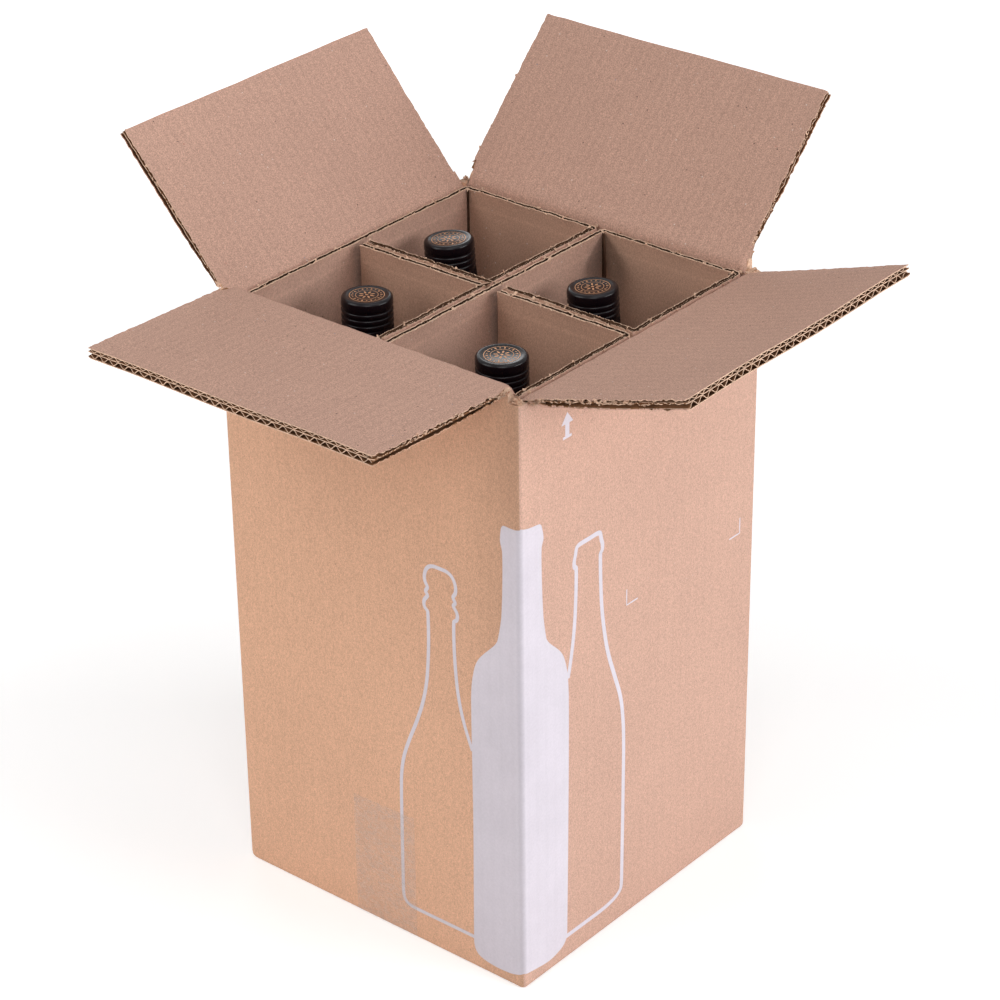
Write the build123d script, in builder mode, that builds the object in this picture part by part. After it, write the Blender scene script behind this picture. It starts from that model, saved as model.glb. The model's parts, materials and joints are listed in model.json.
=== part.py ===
"""A bottle shipping box: a slotted carton of double-wall corrugated board with
four open top flaps, two folded cell sleeves inside it and four capped bottles.

Lengths are in millimetres. Z is up and the carton stands on z = 0, centred on
the origin. The wall at -Y carries the arrow, the wall at -X the end of the tape.
"""

import os
from math import atan2, cos, hypot, radians, sin, tan

from build123d import *

os.makedirs("parts", exist_ok=True)

# Carton board: three liners with a coarse and a fine flute between them
LINER = 0.35
COARSE_FLUTE = 3.4
FINE_FLUTE = 2.35
COARSE_PITCH = 7.95
FINE_PITCH = 6.4
WEB = 0.22
BOARD = 3 * LINER + COARSE_FLUTE + FINE_FLUTE

# Room inside the carton
INSIDE_X = 204.0
INSIDE_Y = 206.0
INSIDE_Z = 364.0
CORNER_R = 3.4
INNER_CORNER_R = 1.0
SEAM = 1.0

# Top flaps: the inner pair (+Y and -Y) closes first, the outer pair (+X and -X) on it
INNER_FLAP_WIDTH = 203.0
OUTER_FLAP_WIDTH = 205.0
FLAP_GAP = 0.8
FLAP_STACK_GAP = 0.3
BACK_TILT = 42.0
RIGHT_TILT = 45.0
LEFT_TILT = 88.0
FRONT_TILT = 74.0

# Crease: the board is crushed to a thin lip that turns about an axis in the wall
LIP = 1.0
CREASE_INSET = 2.0
CREASE_GAP = 0.3
ROOT_START = 3.0
ROOT_SLOPE = 34.0
WALL_BEVEL_X = 2.3
WALL_BEVEL_Z = 1.8
POCKET_START = 6.0
FLUTE_MARGIN = 1.6

# Folded cell sleeves
SLEEVE_BOARD = 4.3
SLEEVE_GAP_X = 0.7
SLEEVE_GAP_Y = 0.6
SLEEVE_MIDDLE_GAP = 1.0
SLEEVE_RIM_GAP = 0.3
SLEEVE_CHAMFER = 2.4
SLEEVE_FOLD_NOTCH = 2.2
CELL_CORNER_R = 1.2
DIVIDER_SLIT = 0.4
DIVIDER_END_GAP = 1.4

# Bottles, each one leaning a little in its cell
BOTTLE_R = 38.3
BOTTLE_HEEL_R = 4.0
BOTTLE_BODY_H = 200.0
# Shoulder as (out from the neck, height), stretched to the room below the cap
BOTTLE_SHOULDER = [(12.5, 34.0), (0.0, 86.0)]
SHOULDER_CLEARANCE = 9.0
BOTTLE_HEIGHT = 355.0
NECK_R = 14.4
BOTTLE_SEAT = 0.05
BOTTLE_BASES = [(50.0, 45.0), (-48.0, 50.0), (50.0, -55.5), (-50.5, -52.0)]
BOTTLE_TOPS = [(46.0, 70.0), (-40.5, 57.0), (46.0, -37.0), (-51.5, -51.0)]

# Long screw caps of thin metal
CAP_R = 15.0
CAP_H = 60.0
CAP_BORE_GAP = 0.1
CAP_TOP = 2.0
CAP_EDGE = 1.4

# Tape over the seam of the floor
TAPE = 0.08
TAPE_WIDTH = 47.0
TAPE_Y = -5.0
TAPE_RISE = 85.0
TAPE_LIFT = 0.12

# Print on the walls
INK = 0.08
LEFT_STROKE = 2.4
FRONT_STROKE = 3.0
THIN_STROKE = 0.9

# Worked out from the sizes above
OUTSIDE_X = INSIDE_X + 2 * BOARD
OUTSIDE_Y = INSIDE_Y + 2 * BOARD
FLOOR_TOP = 2 * BOARD
INNER_CREASE_Z = FLOOR_TOP + INSIDE_Z
OUTER_CREASE_Z = INNER_CREASE_Z + BOARD + FLAP_STACK_GAP
HINGE_X = OUTSIDE_X / 2 - CREASE_INSET
HINGE_Y = OUTSIDE_Y / 2 - CREASE_INSET
SLEEVE_RIM_Z = INNER_CREASE_Z - SLEEVE_RIM_GAP
SLEEVE_HALF_X = INSIDE_X / 2 - SLEEVE_GAP_X
SLEEVE_FAR_Y = INSIDE_Y / 2 - SLEEVE_GAP_Y
SHOULDER_H = BOTTLE_HEIGHT - CAP_H - SHOULDER_CLEARANCE - BOTTLE_BODY_H
SHOULDER_STRETCH = SHOULDER_H / BOTTLE_SHOULDER[-1][1]
UP = Vector(0, 0, 1)


def crease_plane(outward, reach, height, tilt=90.0):
    """Plane across a crease: x runs along the plate, y to its inner side."""
    plate = outward * sin(radians(tilt)) + UP * cos(radians(tilt))
    return Plane(origin=outward * reach + UP * height, x_dir=plate, z_dir=outward.cross(UP))


def flute_outlines(pitch, low, high, half_width):
    """Triangular channels of one fluted layer, as (along the crease, through the board)."""
    count = int((2 * half_width - 2 * FLUTE_MARGIN) / pitch)
    reach = pitch / 2 - WEB
    outlines = []
    for index in range(2 * count - 1):
        middle = (index + 1 - count) * pitch / 2
        base, tip = (low, high - WEB) if index % 2 == 0 else (high, low + WEB)
        outlines.append([(middle - reach, base), (middle + reach, base), (middle, tip)])
    return outlines


# Carton: walls and closed floor, one folded blank
with BuildPart() as carton:
    with BuildSketch(Plane.XY):
        RectangleRounded(OUTSIDE_X, OUTSIDE_Y, CORNER_R)
    extrude(amount=INNER_CREASE_Z - CREASE_GAP)
    # The outer flaps' walls stand one board higher between the slots
    with BuildSketch(Plane.XY.offset(INNER_CREASE_Z - CREASE_GAP)):
        with Locations((OUTSIDE_X / 2 - BOARD / 2, 0), (BOARD / 2 - OUTSIDE_X / 2, 0)):
            Rectangle(BOARD, OUTER_FLAP_WIDTH)
    extrude(amount=OUTER_CREASE_Z - INNER_CREASE_Z)
    with BuildSketch(Plane.XY.offset(FLOOR_TOP)):
        RectangleRounded(INSIDE_X, INSIDE_Y, INNER_CORNER_R)
    extrude(amount=INSIDE_Z + 2 * BOARD, mode=Mode.SUBTRACT)
    # Outer top edges are pressed down along the four creases
    for outward, reach, crease_z, width in (
        (Vector(1, 0, 0), HINGE_X, OUTER_CREASE_Z, OUTER_FLAP_WIDTH),
        (Vector(-1, 0, 0), HINGE_X, OUTER_CREASE_Z, OUTER_FLAP_WIDTH),
        (Vector(0, 1, 0), HINGE_Y, INNER_CREASE_Z, INNER_FLAP_WIDTH + 2 * SEAM),
        (Vector(0, -1, 0), HINGE_Y, INNER_CREASE_Z, INNER_FLAP_WIDTH + 2 * SEAM),
    ):
        with BuildSketch(crease_plane(outward, reach, crease_z - CREASE_GAP)):
            Polygon(
                (CREASE_INSET - WALL_BEVEL_X, 0),
                (CREASE_INSET, -WALL_BEVEL_Z),
                (CREASE_INSET + LIP, -WALL_BEVEL_Z),
                (CREASE_INSET + LIP, LIP),
                (CREASE_INSET - WALL_BEVEL_X, LIP),
                align=None,
            )
        extrude(amount=width / 2, both=True, mode=Mode.SUBTRACT)
    # The outer pair of floor flaps meets along X, the inner pair along Y
    with BuildSketch(Plane.XY):
        Rectangle(OUTSIDE_X, SEAM)
    extrude(amount=BOARD, mode=Mode.SUBTRACT)
    with BuildSketch(Plane.XY.offset(BOARD)):
        Rectangle(SEAM, INSIDE_Y)
    extrude(amount=BOARD, mode=Mode.SUBTRACT)
    # The tape lies flush with the underside
    with BuildSketch(Plane.XY):
        with Locations((0, TAPE_Y)):
            Rectangle(OUTSIDE_X, TAPE_WIDTH)
    extrude(amount=TAPE, mode=Mode.SUBTRACT)
carton.part.label = "carton"
export_step(carton.part, "parts/carton.step")


def make_flap(outward, reach, crease_z, width, tilt, length):
    """One top flap in its open place, with the flutes showing in its free edge."""
    plane = crease_plane(outward, reach, crease_z + LIP / 2, tilt)
    inner_face = LIP / 2
    outer_face = LIP / 2 - BOARD
    root_end = ROOT_START + (BOARD - LIP) * tan(radians(ROOT_SLOPE))
    with BuildPart() as piece:
        with BuildSketch(plane):
            with BuildLine():
                ThreePointArc((0, inner_face), (-LIP / 2, 0), (0, -LIP / 2))
                Polyline(
                    (0, -LIP / 2),
                    (ROOT_START, -LIP / 2),
                    (root_end, outer_face),
                    (length, outer_face),
                    (length, inner_face),
                    (0, inner_face),
                )
            make_face()
        extrude(amount=width / 2, both=True)
        # Flutes run from the free edge nearly to the crushed root
        edge_plane = Plane(
            origin=plane.from_local_coords((length, 0, 0)),
            x_dir=plane.z_dir,
            z_dir=plane.x_dir,
        )
        side = 1 if edge_plane.y_dir.dot(plane.y_dir) > 0 else -1
        middle_liner = outer_face + LINER + COARSE_FLUTE
        layers = flute_outlines(COARSE_PITCH, outer_face + LINER, middle_liner, width / 2)
        layers += flute_outlines(FINE_PITCH, middle_liner + LINER, inner_face - LINER, width / 2)
        with BuildSketch(edge_plane):
            for outline in layers:
                Polygon(*[(along, side * through) for along, through in outline], align=None)
        extrude(amount=-(length - root_end - POCKET_START), mode=Mode.SUBTRACT)
    return piece


OUTER_FLAP_LENGTH = HINGE_X - FLAP_GAP / 2
INNER_FLAP_LENGTH = HINGE_Y - FLAP_GAP / 2

flap_left = make_flap(
    Vector(-1, 0, 0), HINGE_X, OUTER_CREASE_Z, OUTER_FLAP_WIDTH, LEFT_TILT, OUTER_FLAP_LENGTH
)
flap_left.part.label = "flap_left"
export_step(flap_left.part, "parts/flap_left.step")

flap_right = make_flap(
    Vector(1, 0, 0), HINGE_X, OUTER_CREASE_Z, OUTER_FLAP_WIDTH, RIGHT_TILT, OUTER_FLAP_LENGTH
)
flap_right.part.label = "flap_right"
export_step(flap_right.part, "parts/flap_right.step")

flap_front = make_flap(
    Vector(0, -1, 0), HINGE_Y, INNER_CREASE_Z, INNER_FLAP_WIDTH, FRONT_TILT, INNER_FLAP_LENGTH
)
flap_front.part.label = "flap_front"
export_step(flap_front.part, "parts/flap_front.step")

flap_back = make_flap(
    Vector(0, 1, 0), HINGE_Y, INNER_CREASE_Z, INNER_FLAP_WIDTH, BACK_TILT, INNER_FLAP_LENGTH
)
flap_back.part.label = "flap_back"
export_step(flap_back.part, "parts/flap_back.step")


def make_sleeve(low_y, high_y):
    """One strip folded round two cells, both its ends turned in as the divider."""
    depth = high_y - low_y
    divider = 2 * SLEEVE_BOARD + DIVIDER_SLIT
    cell_x = SLEEVE_HALF_X - SLEEVE_BOARD - divider / 2
    cell_y = depth - 2 * SLEEVE_BOARD
    middle_y = (low_y + high_y) / 2
    with BuildPart() as piece:
        with BuildSketch(Plane.XY.offset(FLOOR_TOP)) as section:
            with Locations((0, middle_y)):
                Rectangle(2 * SLEEVE_HALF_X, depth)
            chamfer(section.vertices(), length=SLEEVE_CHAMFER)
            with Locations(
                (divider / 2 + cell_x / 2, middle_y), (-divider / 2 - cell_x / 2, middle_y)
            ):
                RectangleRounded(cell_x, cell_y, CELL_CORNER_R, mode=Mode.SUBTRACT)
            with Locations((0, low_y + (depth - SLEEVE_BOARD) / 2)):
                Rectangle(DIVIDER_SLIT, depth - SLEEVE_BOARD, mode=Mode.SUBTRACT)
            with Locations((0, high_y - SLEEVE_BOARD - DIVIDER_END_GAP / 2)):
                Rectangle(divider + 2 * CELL_CORNER_R, DIVIDER_END_GAP, mode=Mode.SUBTRACT)
            Polygon(
                (-SLEEVE_FOLD_NOTCH - DIVIDER_SLIT / 2, low_y),
                (SLEEVE_FOLD_NOTCH + DIVIDER_SLIT / 2, low_y),
                (DIVIDER_SLIT / 2, low_y + SLEEVE_FOLD_NOTCH),
                (-DIVIDER_SLIT / 2, low_y + SLEEVE_FOLD_NOTCH),
                align=None,
                mode=Mode.SUBTRACT,
            )
        extrude(amount=SLEEVE_RIM_Z - FLOOR_TOP)
    return piece


insert_back = make_sleeve(SLEEVE_MIDDLE_GAP / 2, SLEEVE_FAR_Y)
insert_back.part.label = "insert_back"
export_step(insert_back.part, "parts/insert_back.step")

insert_front = make_sleeve(-SLEEVE_FAR_Y, -SLEEVE_MIDDLE_GAP / 2)
insert_front.part.label = "insert_front"
export_step(insert_front.part, "parts/insert_front.step")


def bottle_plane(base, top):
    """Plane through a bottle's axis, its y axis along the axis, its origin under the base."""
    lean = Vector(top[0] - base[0], top[1] - base[1], BOTTLE_HEIGHT)
    axis = lean.normalized()
    angle = atan2(hypot(lean.X, lean.Y), lean.Z)
    foot = BOTTLE_R - BOTTLE_HEEL_R
    rise = foot * sin(angle) + BOTTLE_HEEL_R * (1 - cos(angle)) + BOTTLE_SEAT
    across = Vector(1, 0, 0)
    across = (across - axis * across.dot(axis)).normalized()
    return Plane(
        origin=(base[0], base[1], FLOOR_TOP + rise), x_dir=across, z_dir=across.cross(axis)
    )


cap_bore = NECK_R + CAP_BORE_GAP
for number, (base, top) in enumerate(zip(BOTTLE_BASES, BOTTLE_TOPS), start=1):
    plane = bottle_plane(base, top)
    axis = Axis(plane.origin, plane.y_dir)

    # Sealed bottle, turned in one piece with what is in it
    neck_top = BOTTLE_HEIGHT - CAP_TOP - CAP_BORE_GAP
    with BuildPart() as bottle:
        with BuildSketch(plane):
            Polygon(
                (0, 0),
                (BOTTLE_R - BOTTLE_HEEL_R, 0),
                (BOTTLE_R, BOTTLE_HEEL_R),
                (BOTTLE_R, BOTTLE_BODY_H),
                *[
                    (NECK_R + out, BOTTLE_BODY_H + up * SHOULDER_STRETCH)
                    for out, up in BOTTLE_SHOULDER
                ],
                (NECK_R, neck_top),
                (0, neck_top),
                align=None,
            )
        revolve(axis=axis)
    bottle.part.label = f"bottle_{number}"
    export_step(bottle.part, f"parts/bottle_{number}.step")

    # Long screw cap with a bevelled top edge
    with BuildPart() as cap:
        with BuildSketch(plane):
            Polygon(
                (0, BOTTLE_HEIGHT),
                (CAP_R - CAP_EDGE, BOTTLE_HEIGHT),
                (CAP_R, BOTTLE_HEIGHT - CAP_EDGE),
                (CAP_R, BOTTLE_HEIGHT - CAP_H),
                (cap_bore, BOTTLE_HEIGHT - CAP_H),
                (cap_bore, BOTTLE_HEIGHT - CAP_TOP),
                (0, BOTTLE_HEIGHT - CAP_TOP),
                align=None,
            )
        revolve(axis=axis)
    cap.part.label = f"cap_{number}"
    export_step(cap.part, f"parts/cap_{number}.step")


# Clear tape: up the wall at -X, under the floor seam and up the wall at +X
with BuildPart() as bottom_tape:
    with BuildSketch(Plane.XZ.offset(-TAPE_Y)):
        with Locations((0, TAPE / 2)):
            Rectangle(OUTSIDE_X + 2 * TAPE_LIFT + 2 * TAPE, TAPE)
        for side in (-1, 1):
            with Locations((side * (OUTSIDE_X / 2 + TAPE_LIFT + TAPE / 2), TAPE_RISE / 2)):
                Rectangle(TAPE, TAPE_RISE)
    extrude(amount=TAPE_WIDTH / 2, both=True)
bottom_tape.part.label = "bottom_tape"
export_step(bottom_tape.part, "parts/bottom_tape.step")


# Print: half outlines of the bottles as (distance from the middle line, height)
SOLID_LEFT = [
    (0, 303.6), (6, 303.2), (11.5, 303.3), (12.9, 301.5), (13.8, 293.5), (12.4, 287), (12.4, 270),
    (13.6, 245), (16.4, 230), (18.6, 226), (26.6, 217.3), (30.4, 212.5), (33, 207), (35.2, 197),
    (36.2, 185), (36.2, 100), (37.2, 18), (36, 13), (33.5, 10), (28.5, 8.2), (19.5, 7.2),
    (8.4, 8), (0, 10.8),
]
SOLID_RIGHT = [
    (0, 304.4), (7.5, 302.3), (16.5, 301), (18.2, 299.3), (19.9, 291), (18.2, 285.8), (18.2, 268),
    (19.4, 243), (22, 227), (24.5, 223), (32.6, 214.8), (35.9, 210.5), (38.3, 205), (40.6, 195),
    (41.6, 180), (41.4, 120), (40, 20), (39.2, 15), (37.2, 12), (33.8, 10), (27, 8.1), (21, 7.8),
    (12.7, 8.8), (0, 10.8),
]
CORKED = [
    (0, 260.5), (4.6, 260.4), (8, 259), (10.3, 256), (11.3, 252), (10.9, 248.6), (9.3, 245.6),
    (10.7, 242.6), (9.4, 240.2), (11.7, 236.8), (12.2, 234.3), (11.5, 231.8), (9.5, 230),
    (9.5, 208), (11.1, 187), (13, 176), (15.9, 165), (20.2, 153), (26.3, 138), (30.4, 126),
    (32.6, 114), (33.3, 100), (34.1, 31), (33.6, 26.4), (32, 23.5), (29.4, 22), (25.5, 21.4),
    (0, 21.4),
]
BURGUNDY = [
    (0, 273.3), (8.2, 273.3), (10.4, 272.2), (11.5, 268), (12.6, 264.5), (12.4, 261.2),
    (10.8, 259.4), (11.2, 240), (12.3, 224), (14.6, 208), (18.1, 192), (23.5, 176), (29.1, 160),
    (31.4, 150), (33, 135), (33.5, 118), (32.6, 27), (31.6, 21.5), (27, 18.4), (20, 16.8),
    (12, 16.2), (0, 16.2),
]
CORKED_Y = -52.55
BURGUNDY_X = -49.75
ARROW_X = -68.25
ARROW_Z = 358.8
MARK_SIZE = 10.2
MARKS = [(-14.7, 215.1, 1), (93.6, 214.5, -1)]
LEFT_WALL = Plane(origin=(-OUTSIDE_X / 2, 0, 0), x_dir=(0, -1, 0), z_dir=(-1, 0, 0))
FRONT_WALL = Plane(origin=(0, -OUTSIDE_Y / 2, 0), x_dir=(1, 0, 0), z_dir=(0, -1, 0))


def shifted(half, amount):
    """Half outline moved outwards by an amount, each point square to its own run."""
    moved = []
    for before, at, after in zip(half[:1] + half, half, half[1:] + half[-1:]):
        run = hypot(after[0] - before[0], after[1] - before[1])
        across = (before[1] - after[1]) / run * amount
        rise = (after[0] - before[0]) / run * amount
        moved.append((at[0] + across, at[1] + rise))
    return moved


def mirrored(half, middle):
    """Closed outline from one half of it, about a vertical middle line."""
    right = [(middle + across, height) for across, height in half]
    left = [(middle - across, height) for across, height in half[-2:0:-1]]
    return right + left


# Filled bottle that wraps round the front corner
with BuildPart() as print_bottle:
    with BuildSketch(Plane.XY):
        RectangleRounded(OUTSIDE_X + 2 * INK, OUTSIDE_Y + 2 * INK, CORNER_R + INK)
        RectangleRounded(OUTSIDE_X, OUTSIDE_Y, CORNER_R, mode=Mode.SUBTRACT)
    extrude(amount=SOLID_RIGHT[0][1] + LIP)
    corner_y = OUTSIDE_Y / 2 + 2 * INK
    corner_x = -OUTSIDE_X / 2 - 2 * INK
    with BuildSketch(LEFT_WALL.offset(2 * INK)) as left_half:
        Polygon(*[(OUTSIDE_Y / 2 - across, height) for across, height in SOLID_LEFT], align=None)
        Polygon(
            (OUTSIDE_Y / 2, SOLID_LEFT[0][1]),
            (corner_y, SOLID_LEFT[0][1]),
            (corner_y, SOLID_LEFT[-1][1]),
            (OUTSIDE_Y / 2, SOLID_LEFT[-1][1]),
            align=None,
        )
    with BuildSketch(FRONT_WALL.offset(2 * INK)) as right_half:
        Polygon(*[(across - OUTSIDE_X / 2, height) for across, height in SOLID_RIGHT], align=None)
        Polygon(
            (-OUTSIDE_X / 2, SOLID_RIGHT[0][1]),
            (corner_x, SOLID_RIGHT[0][1]),
            (corner_x, SOLID_RIGHT[-1][1]),
            (-OUTSIDE_X / 2, SOLID_RIGHT[-1][1]),
            align=None,
        )
    left_reach = extrude(left_half.sketch, amount=-CORNER_R - 2 * INK, mode=Mode.PRIVATE)
    right_reach = extrude(right_half.sketch, amount=-CORNER_R - 2 * INK, mode=Mode.PRIVATE)
    add(left_reach + right_reach, mode=Mode.INTERSECT)
print_bottle.part.label = "print_bottle"
export_step(print_bottle.part, "parts/print_bottle.step")

# Outline of a corked bottle, running behind the filled one
with BuildPart() as print_corked:
    with BuildSketch(LEFT_WALL) as ring:
        Polygon(*mirrored(shifted(CORKED, LEFT_STROKE / 2), -CORKED_Y), align=None)
        Polygon(*mirrored(shifted(CORKED, -LEFT_STROKE / 2), -CORKED_Y), align=None,
                mode=Mode.SUBTRACT)
        Polygon(*[(OUTSIDE_Y / 2 - across, height) for across, height in SOLID_LEFT],
                align=None, mode=Mode.SUBTRACT)
    extrude(amount=INK)
print_corked.part.label = "print_corked_outline"
export_step(print_corked.part, "parts/print_corked_outline.step")

# Outline of a round-shouldered bottle on the front wall
with BuildPart() as print_burgundy:
    with BuildSketch(FRONT_WALL) as ring:
        Polygon(*mirrored(shifted(BURGUNDY, FRONT_STROKE / 2), BURGUNDY_X), align=None)
        Polygon(*mirrored(shifted(BURGUNDY, -FRONT_STROKE / 2), BURGUNDY_X), align=None,
                mode=Mode.SUBTRACT)
        Polygon(*[(across - OUTSIDE_X / 2, height) for across, height in SOLID_RIGHT],
                align=None, mode=Mode.SUBTRACT)
    extrude(amount=INK)
print_burgundy.part.label = "print_burgundy_outline"
export_step(print_burgundy.part, "parts/print_burgundy_outline.step")

# Arrow that shows which way is up, over a short base line
with BuildPart() as print_arrow:
    with BuildSketch(FRONT_WALL):
        with Locations((ARROW_X, ARROW_Z)):
            Polygon((0, 0), (5.1, -6.8), (1.8, -6.8), (1.8, -14), (-1.8, -14), (-1.8, -6.8),
                    (-5.1, -6.8), align=None)
            with Locations((0, -14.8)):
                Rectangle(7.4, 1.6)
    extrude(amount=INK)
print_arrow.part.label = "print_arrow"
export_step(print_arrow.part, "parts/print_arrow.step")

# Two corner marks of the label field
with BuildPart() as print_marks:
    with BuildSketch(FRONT_WALL):
        for mark_x, mark_z, hand in MARKS:
            with Locations((mark_x + hand * MARK_SIZE / 2, mark_z)):
                Rectangle(MARK_SIZE + THIN_STROKE, THIN_STROKE)
            with Locations((mark_x, mark_z + MARK_SIZE / 2)):
                Rectangle(THIN_STROKE, MARK_SIZE + THIN_STROKE)
    extrude(amount=INK)
print_marks.part.label = "print_corner_marks"
export_step(print_marks.part, "parts/print_corner_marks.step")
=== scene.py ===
"""Bottle shipping box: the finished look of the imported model, laid out as an add-on.

Pieces are modelled in millimetres in the model's frame and scaled to metres when each
mesh is finished. Z is up, the wall at -Y carries the arrow, the wall at -X the tape.
"""

import json
import math
import random

import bmesh
import bpy
from bpy.props import FloatProperty, FloatVectorProperty, IntProperty, PointerProperty
from mathutils import Matrix, Vector, noise


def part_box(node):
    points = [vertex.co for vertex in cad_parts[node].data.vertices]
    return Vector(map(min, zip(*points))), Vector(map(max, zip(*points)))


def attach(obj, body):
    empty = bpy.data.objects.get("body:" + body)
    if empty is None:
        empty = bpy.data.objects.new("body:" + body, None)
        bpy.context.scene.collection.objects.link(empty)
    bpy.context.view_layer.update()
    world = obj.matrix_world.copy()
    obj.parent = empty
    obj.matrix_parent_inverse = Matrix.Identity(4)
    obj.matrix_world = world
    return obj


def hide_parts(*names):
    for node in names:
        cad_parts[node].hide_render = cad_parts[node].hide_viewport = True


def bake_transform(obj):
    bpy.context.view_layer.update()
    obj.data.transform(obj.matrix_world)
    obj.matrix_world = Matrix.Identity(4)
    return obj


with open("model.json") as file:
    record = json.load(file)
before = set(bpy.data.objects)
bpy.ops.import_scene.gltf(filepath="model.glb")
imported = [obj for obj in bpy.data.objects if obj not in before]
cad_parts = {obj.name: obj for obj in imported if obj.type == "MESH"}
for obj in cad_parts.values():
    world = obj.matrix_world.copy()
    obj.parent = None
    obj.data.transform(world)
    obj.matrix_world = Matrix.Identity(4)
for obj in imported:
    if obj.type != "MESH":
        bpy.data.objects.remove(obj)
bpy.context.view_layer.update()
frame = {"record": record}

bl_info = {
    "name": "Bottle shipping box",
    "version": (1, 0, 0),
    "blender": (4, 5, 0),
    "location": "View3D > Sidebar > Shipping box",
    "description": "Corrugated carton with folded cell sleeves and capped bottles",
    "category": "Add Mesh",
}

MM = 1000  # millimetres in a metre
UP = Vector((0, 0, 1))
JOINTS = {joint["child"]: joint for joint in frame["record"]["behaviour"]["joints"]}
OUTWARD = {
    "front": Vector((0, -1, 0)),
    "back": Vector((0, 1, 0)),
    "left": Vector((-1, 0, 0)),
    "right": Vector((1, 0, 0)),
}


def box_mm(name):
    """Low and high corner of a node, in millimetres."""
    low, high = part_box(name)
    return low * MM, high * MM


WALL_X, WALL_Y, _ = box_mm("carton")[1]
SLEEVE_LOW, SLEEVE_HIGH = box_mm("insert_back")
RIM_Z = SLEEVE_HIGH.z
FLOOR_Z = SLEEVE_LOW.z
# The floor of the carton is two boards thick
BOARD = FLOOR_Z / 2
# Radius of the upright corners, apart from the one behind at the left
CORNER_R = 3.4
# Height that tells faces near the top from faces near the floor
HALF_WAY = 150


def srgb(*levels):
    """Linear colour from 0 to 255 values."""
    shares = (level / 255 for level in levels)
    return tuple(
        share / 12.92 if share <= 0.04045 else ((share + 0.055) / 1.055) ** 2.4
        for share in shares
    )


def measure(name, description, default, **limits):
    """Setting that holds a number."""
    return FloatProperty(name=name, description=description, default=default, **limits)


def shade(name, description, *levels):
    """Setting that holds a colour, its default as 0 to 255 values."""
    return FloatVectorProperty(name=name, description=description, subtype="COLOR",
                               default=srgb(*levels))


class BoardSizes(bpy.types.PropertyGroup):
    """Sizes of the corrugated board, in millimetres."""
    liner: measure("Liner", "Thickness of a flat paper", 0.5, min=0.1)
    medium: measure("Medium", "Thickness of a waved paper", 0.42, min=0.1)
    coarse_pitch: measure("Coarse pitch", "Length of one coarse wave", 7.4)
    fine_pitch: measure("Fine pitch", "Length of one fine wave", 6.05)
    middle: measure("Middle liner", "Depth of the middle liner under the inner face", 2.4)
    ragged: measure("Ragged", "Depth of the torn nicks in the side edges", 0.6)
    sleeve_board: measure("Sleeve board", "Thickness of the sleeve board", 4.3)
    sleeve_coarse: measure("Sleeve coarse pitch", "Wave length of its inner row", 4.9)
    sleeve_fine: measure("Sleeve fine pitch", "Wave length of its outer row", 2.9)
    rim_depth: measure("Rim depth", "Open depth of the waves in the rim", 6.0)


class PaperColours(bpy.types.PropertyGroup):
    """Colours of the papers and the print."""
    # Both outer colours are one paper; the front and back one is tinted cooler as painted light
    outer_x: shade("Side walls", "Outer liner at left and right", 214, 169, 140)
    outer_y: shade("Front and back walls", "Outer liner at front and back", 211, 171, 152)
    inner: shade("Inner liner", "Inner faces of flaps and walls", 197, 158, 140)
    cell: shade("Sleeve liner", "Faces of the sleeves", 188, 149, 127)
    # Waved paper, darkened as painted shade of the hollows inside the board
    flute: shade("Waved paper", "Paper between the liners", 150, 108, 78)
    cut: shade("Cut edge", "Fresh fibres of a cut edge", 226, 190, 164)
    ink: shade("Print", "Pale print on the walls", 228, 220, 229)


class CapSizes(bpy.types.PropertyGroup):
    """Sizes of the screw caps, in millimetres."""
    radius: measure("Radius", "Outside radius", 15.0)
    height: measure("Height", "Height of the skirt", 60.0)
    ribs: IntProperty(name="Ribs", description="Fine ribs round the grip", default=84, min=12)


class StageSettings(bpy.types.PropertyGroup):
    """Where the camera stands and how it looks."""
    azimuth: measure("Azimuth", "Camera angle about Z, degrees", -49.92)
    elevation: measure("Elevation", "Camera angle above the floor, degrees", 29.82)
    roll: measure("Roll", "Camera roll, degrees", -0.79)
    distance: measure("Distance", "From the aim point", 1.924, unit="LENGTH")
    aim: measure("Aim height", "Height of the aim point", 0.19, unit="LENGTH")
    lens: measure("Lens", "Focal length in millimetres", 117.32)
    shift_x: measure("Shift X", "Camera shift", 0.00587)
    shift_y: measure("Shift Y", "Camera shift", 0.07337)


# Materials


def feed(tree, node, inputs):
    """Gives each input its plain value, or links it to another node's output."""
    for socket, value in inputs.items():
        if isinstance(value, bpy.types.NodeSocket):
            tree.links.new(value, node.inputs[socket])
        else:
            node.inputs[socket].default_value = value


def add_node(tree, kind, inputs=None, **settings):
    """Adds a node with its settings and inputs."""
    made = tree.nodes.new(kind)
    for key, value in settings.items():
        setattr(made, key, value)
    feed(tree, made, inputs or {})
    return made


def spread(tree, source, low, high, first, last):
    """Value that runs from first to last as its source runs from low to high."""
    return add_node(tree, "ShaderNodeMapRange", {
        "Value": source, "From Min": low, "From Max": high, "To Min": first, "To Max": last,
    }).outputs[0]


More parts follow.
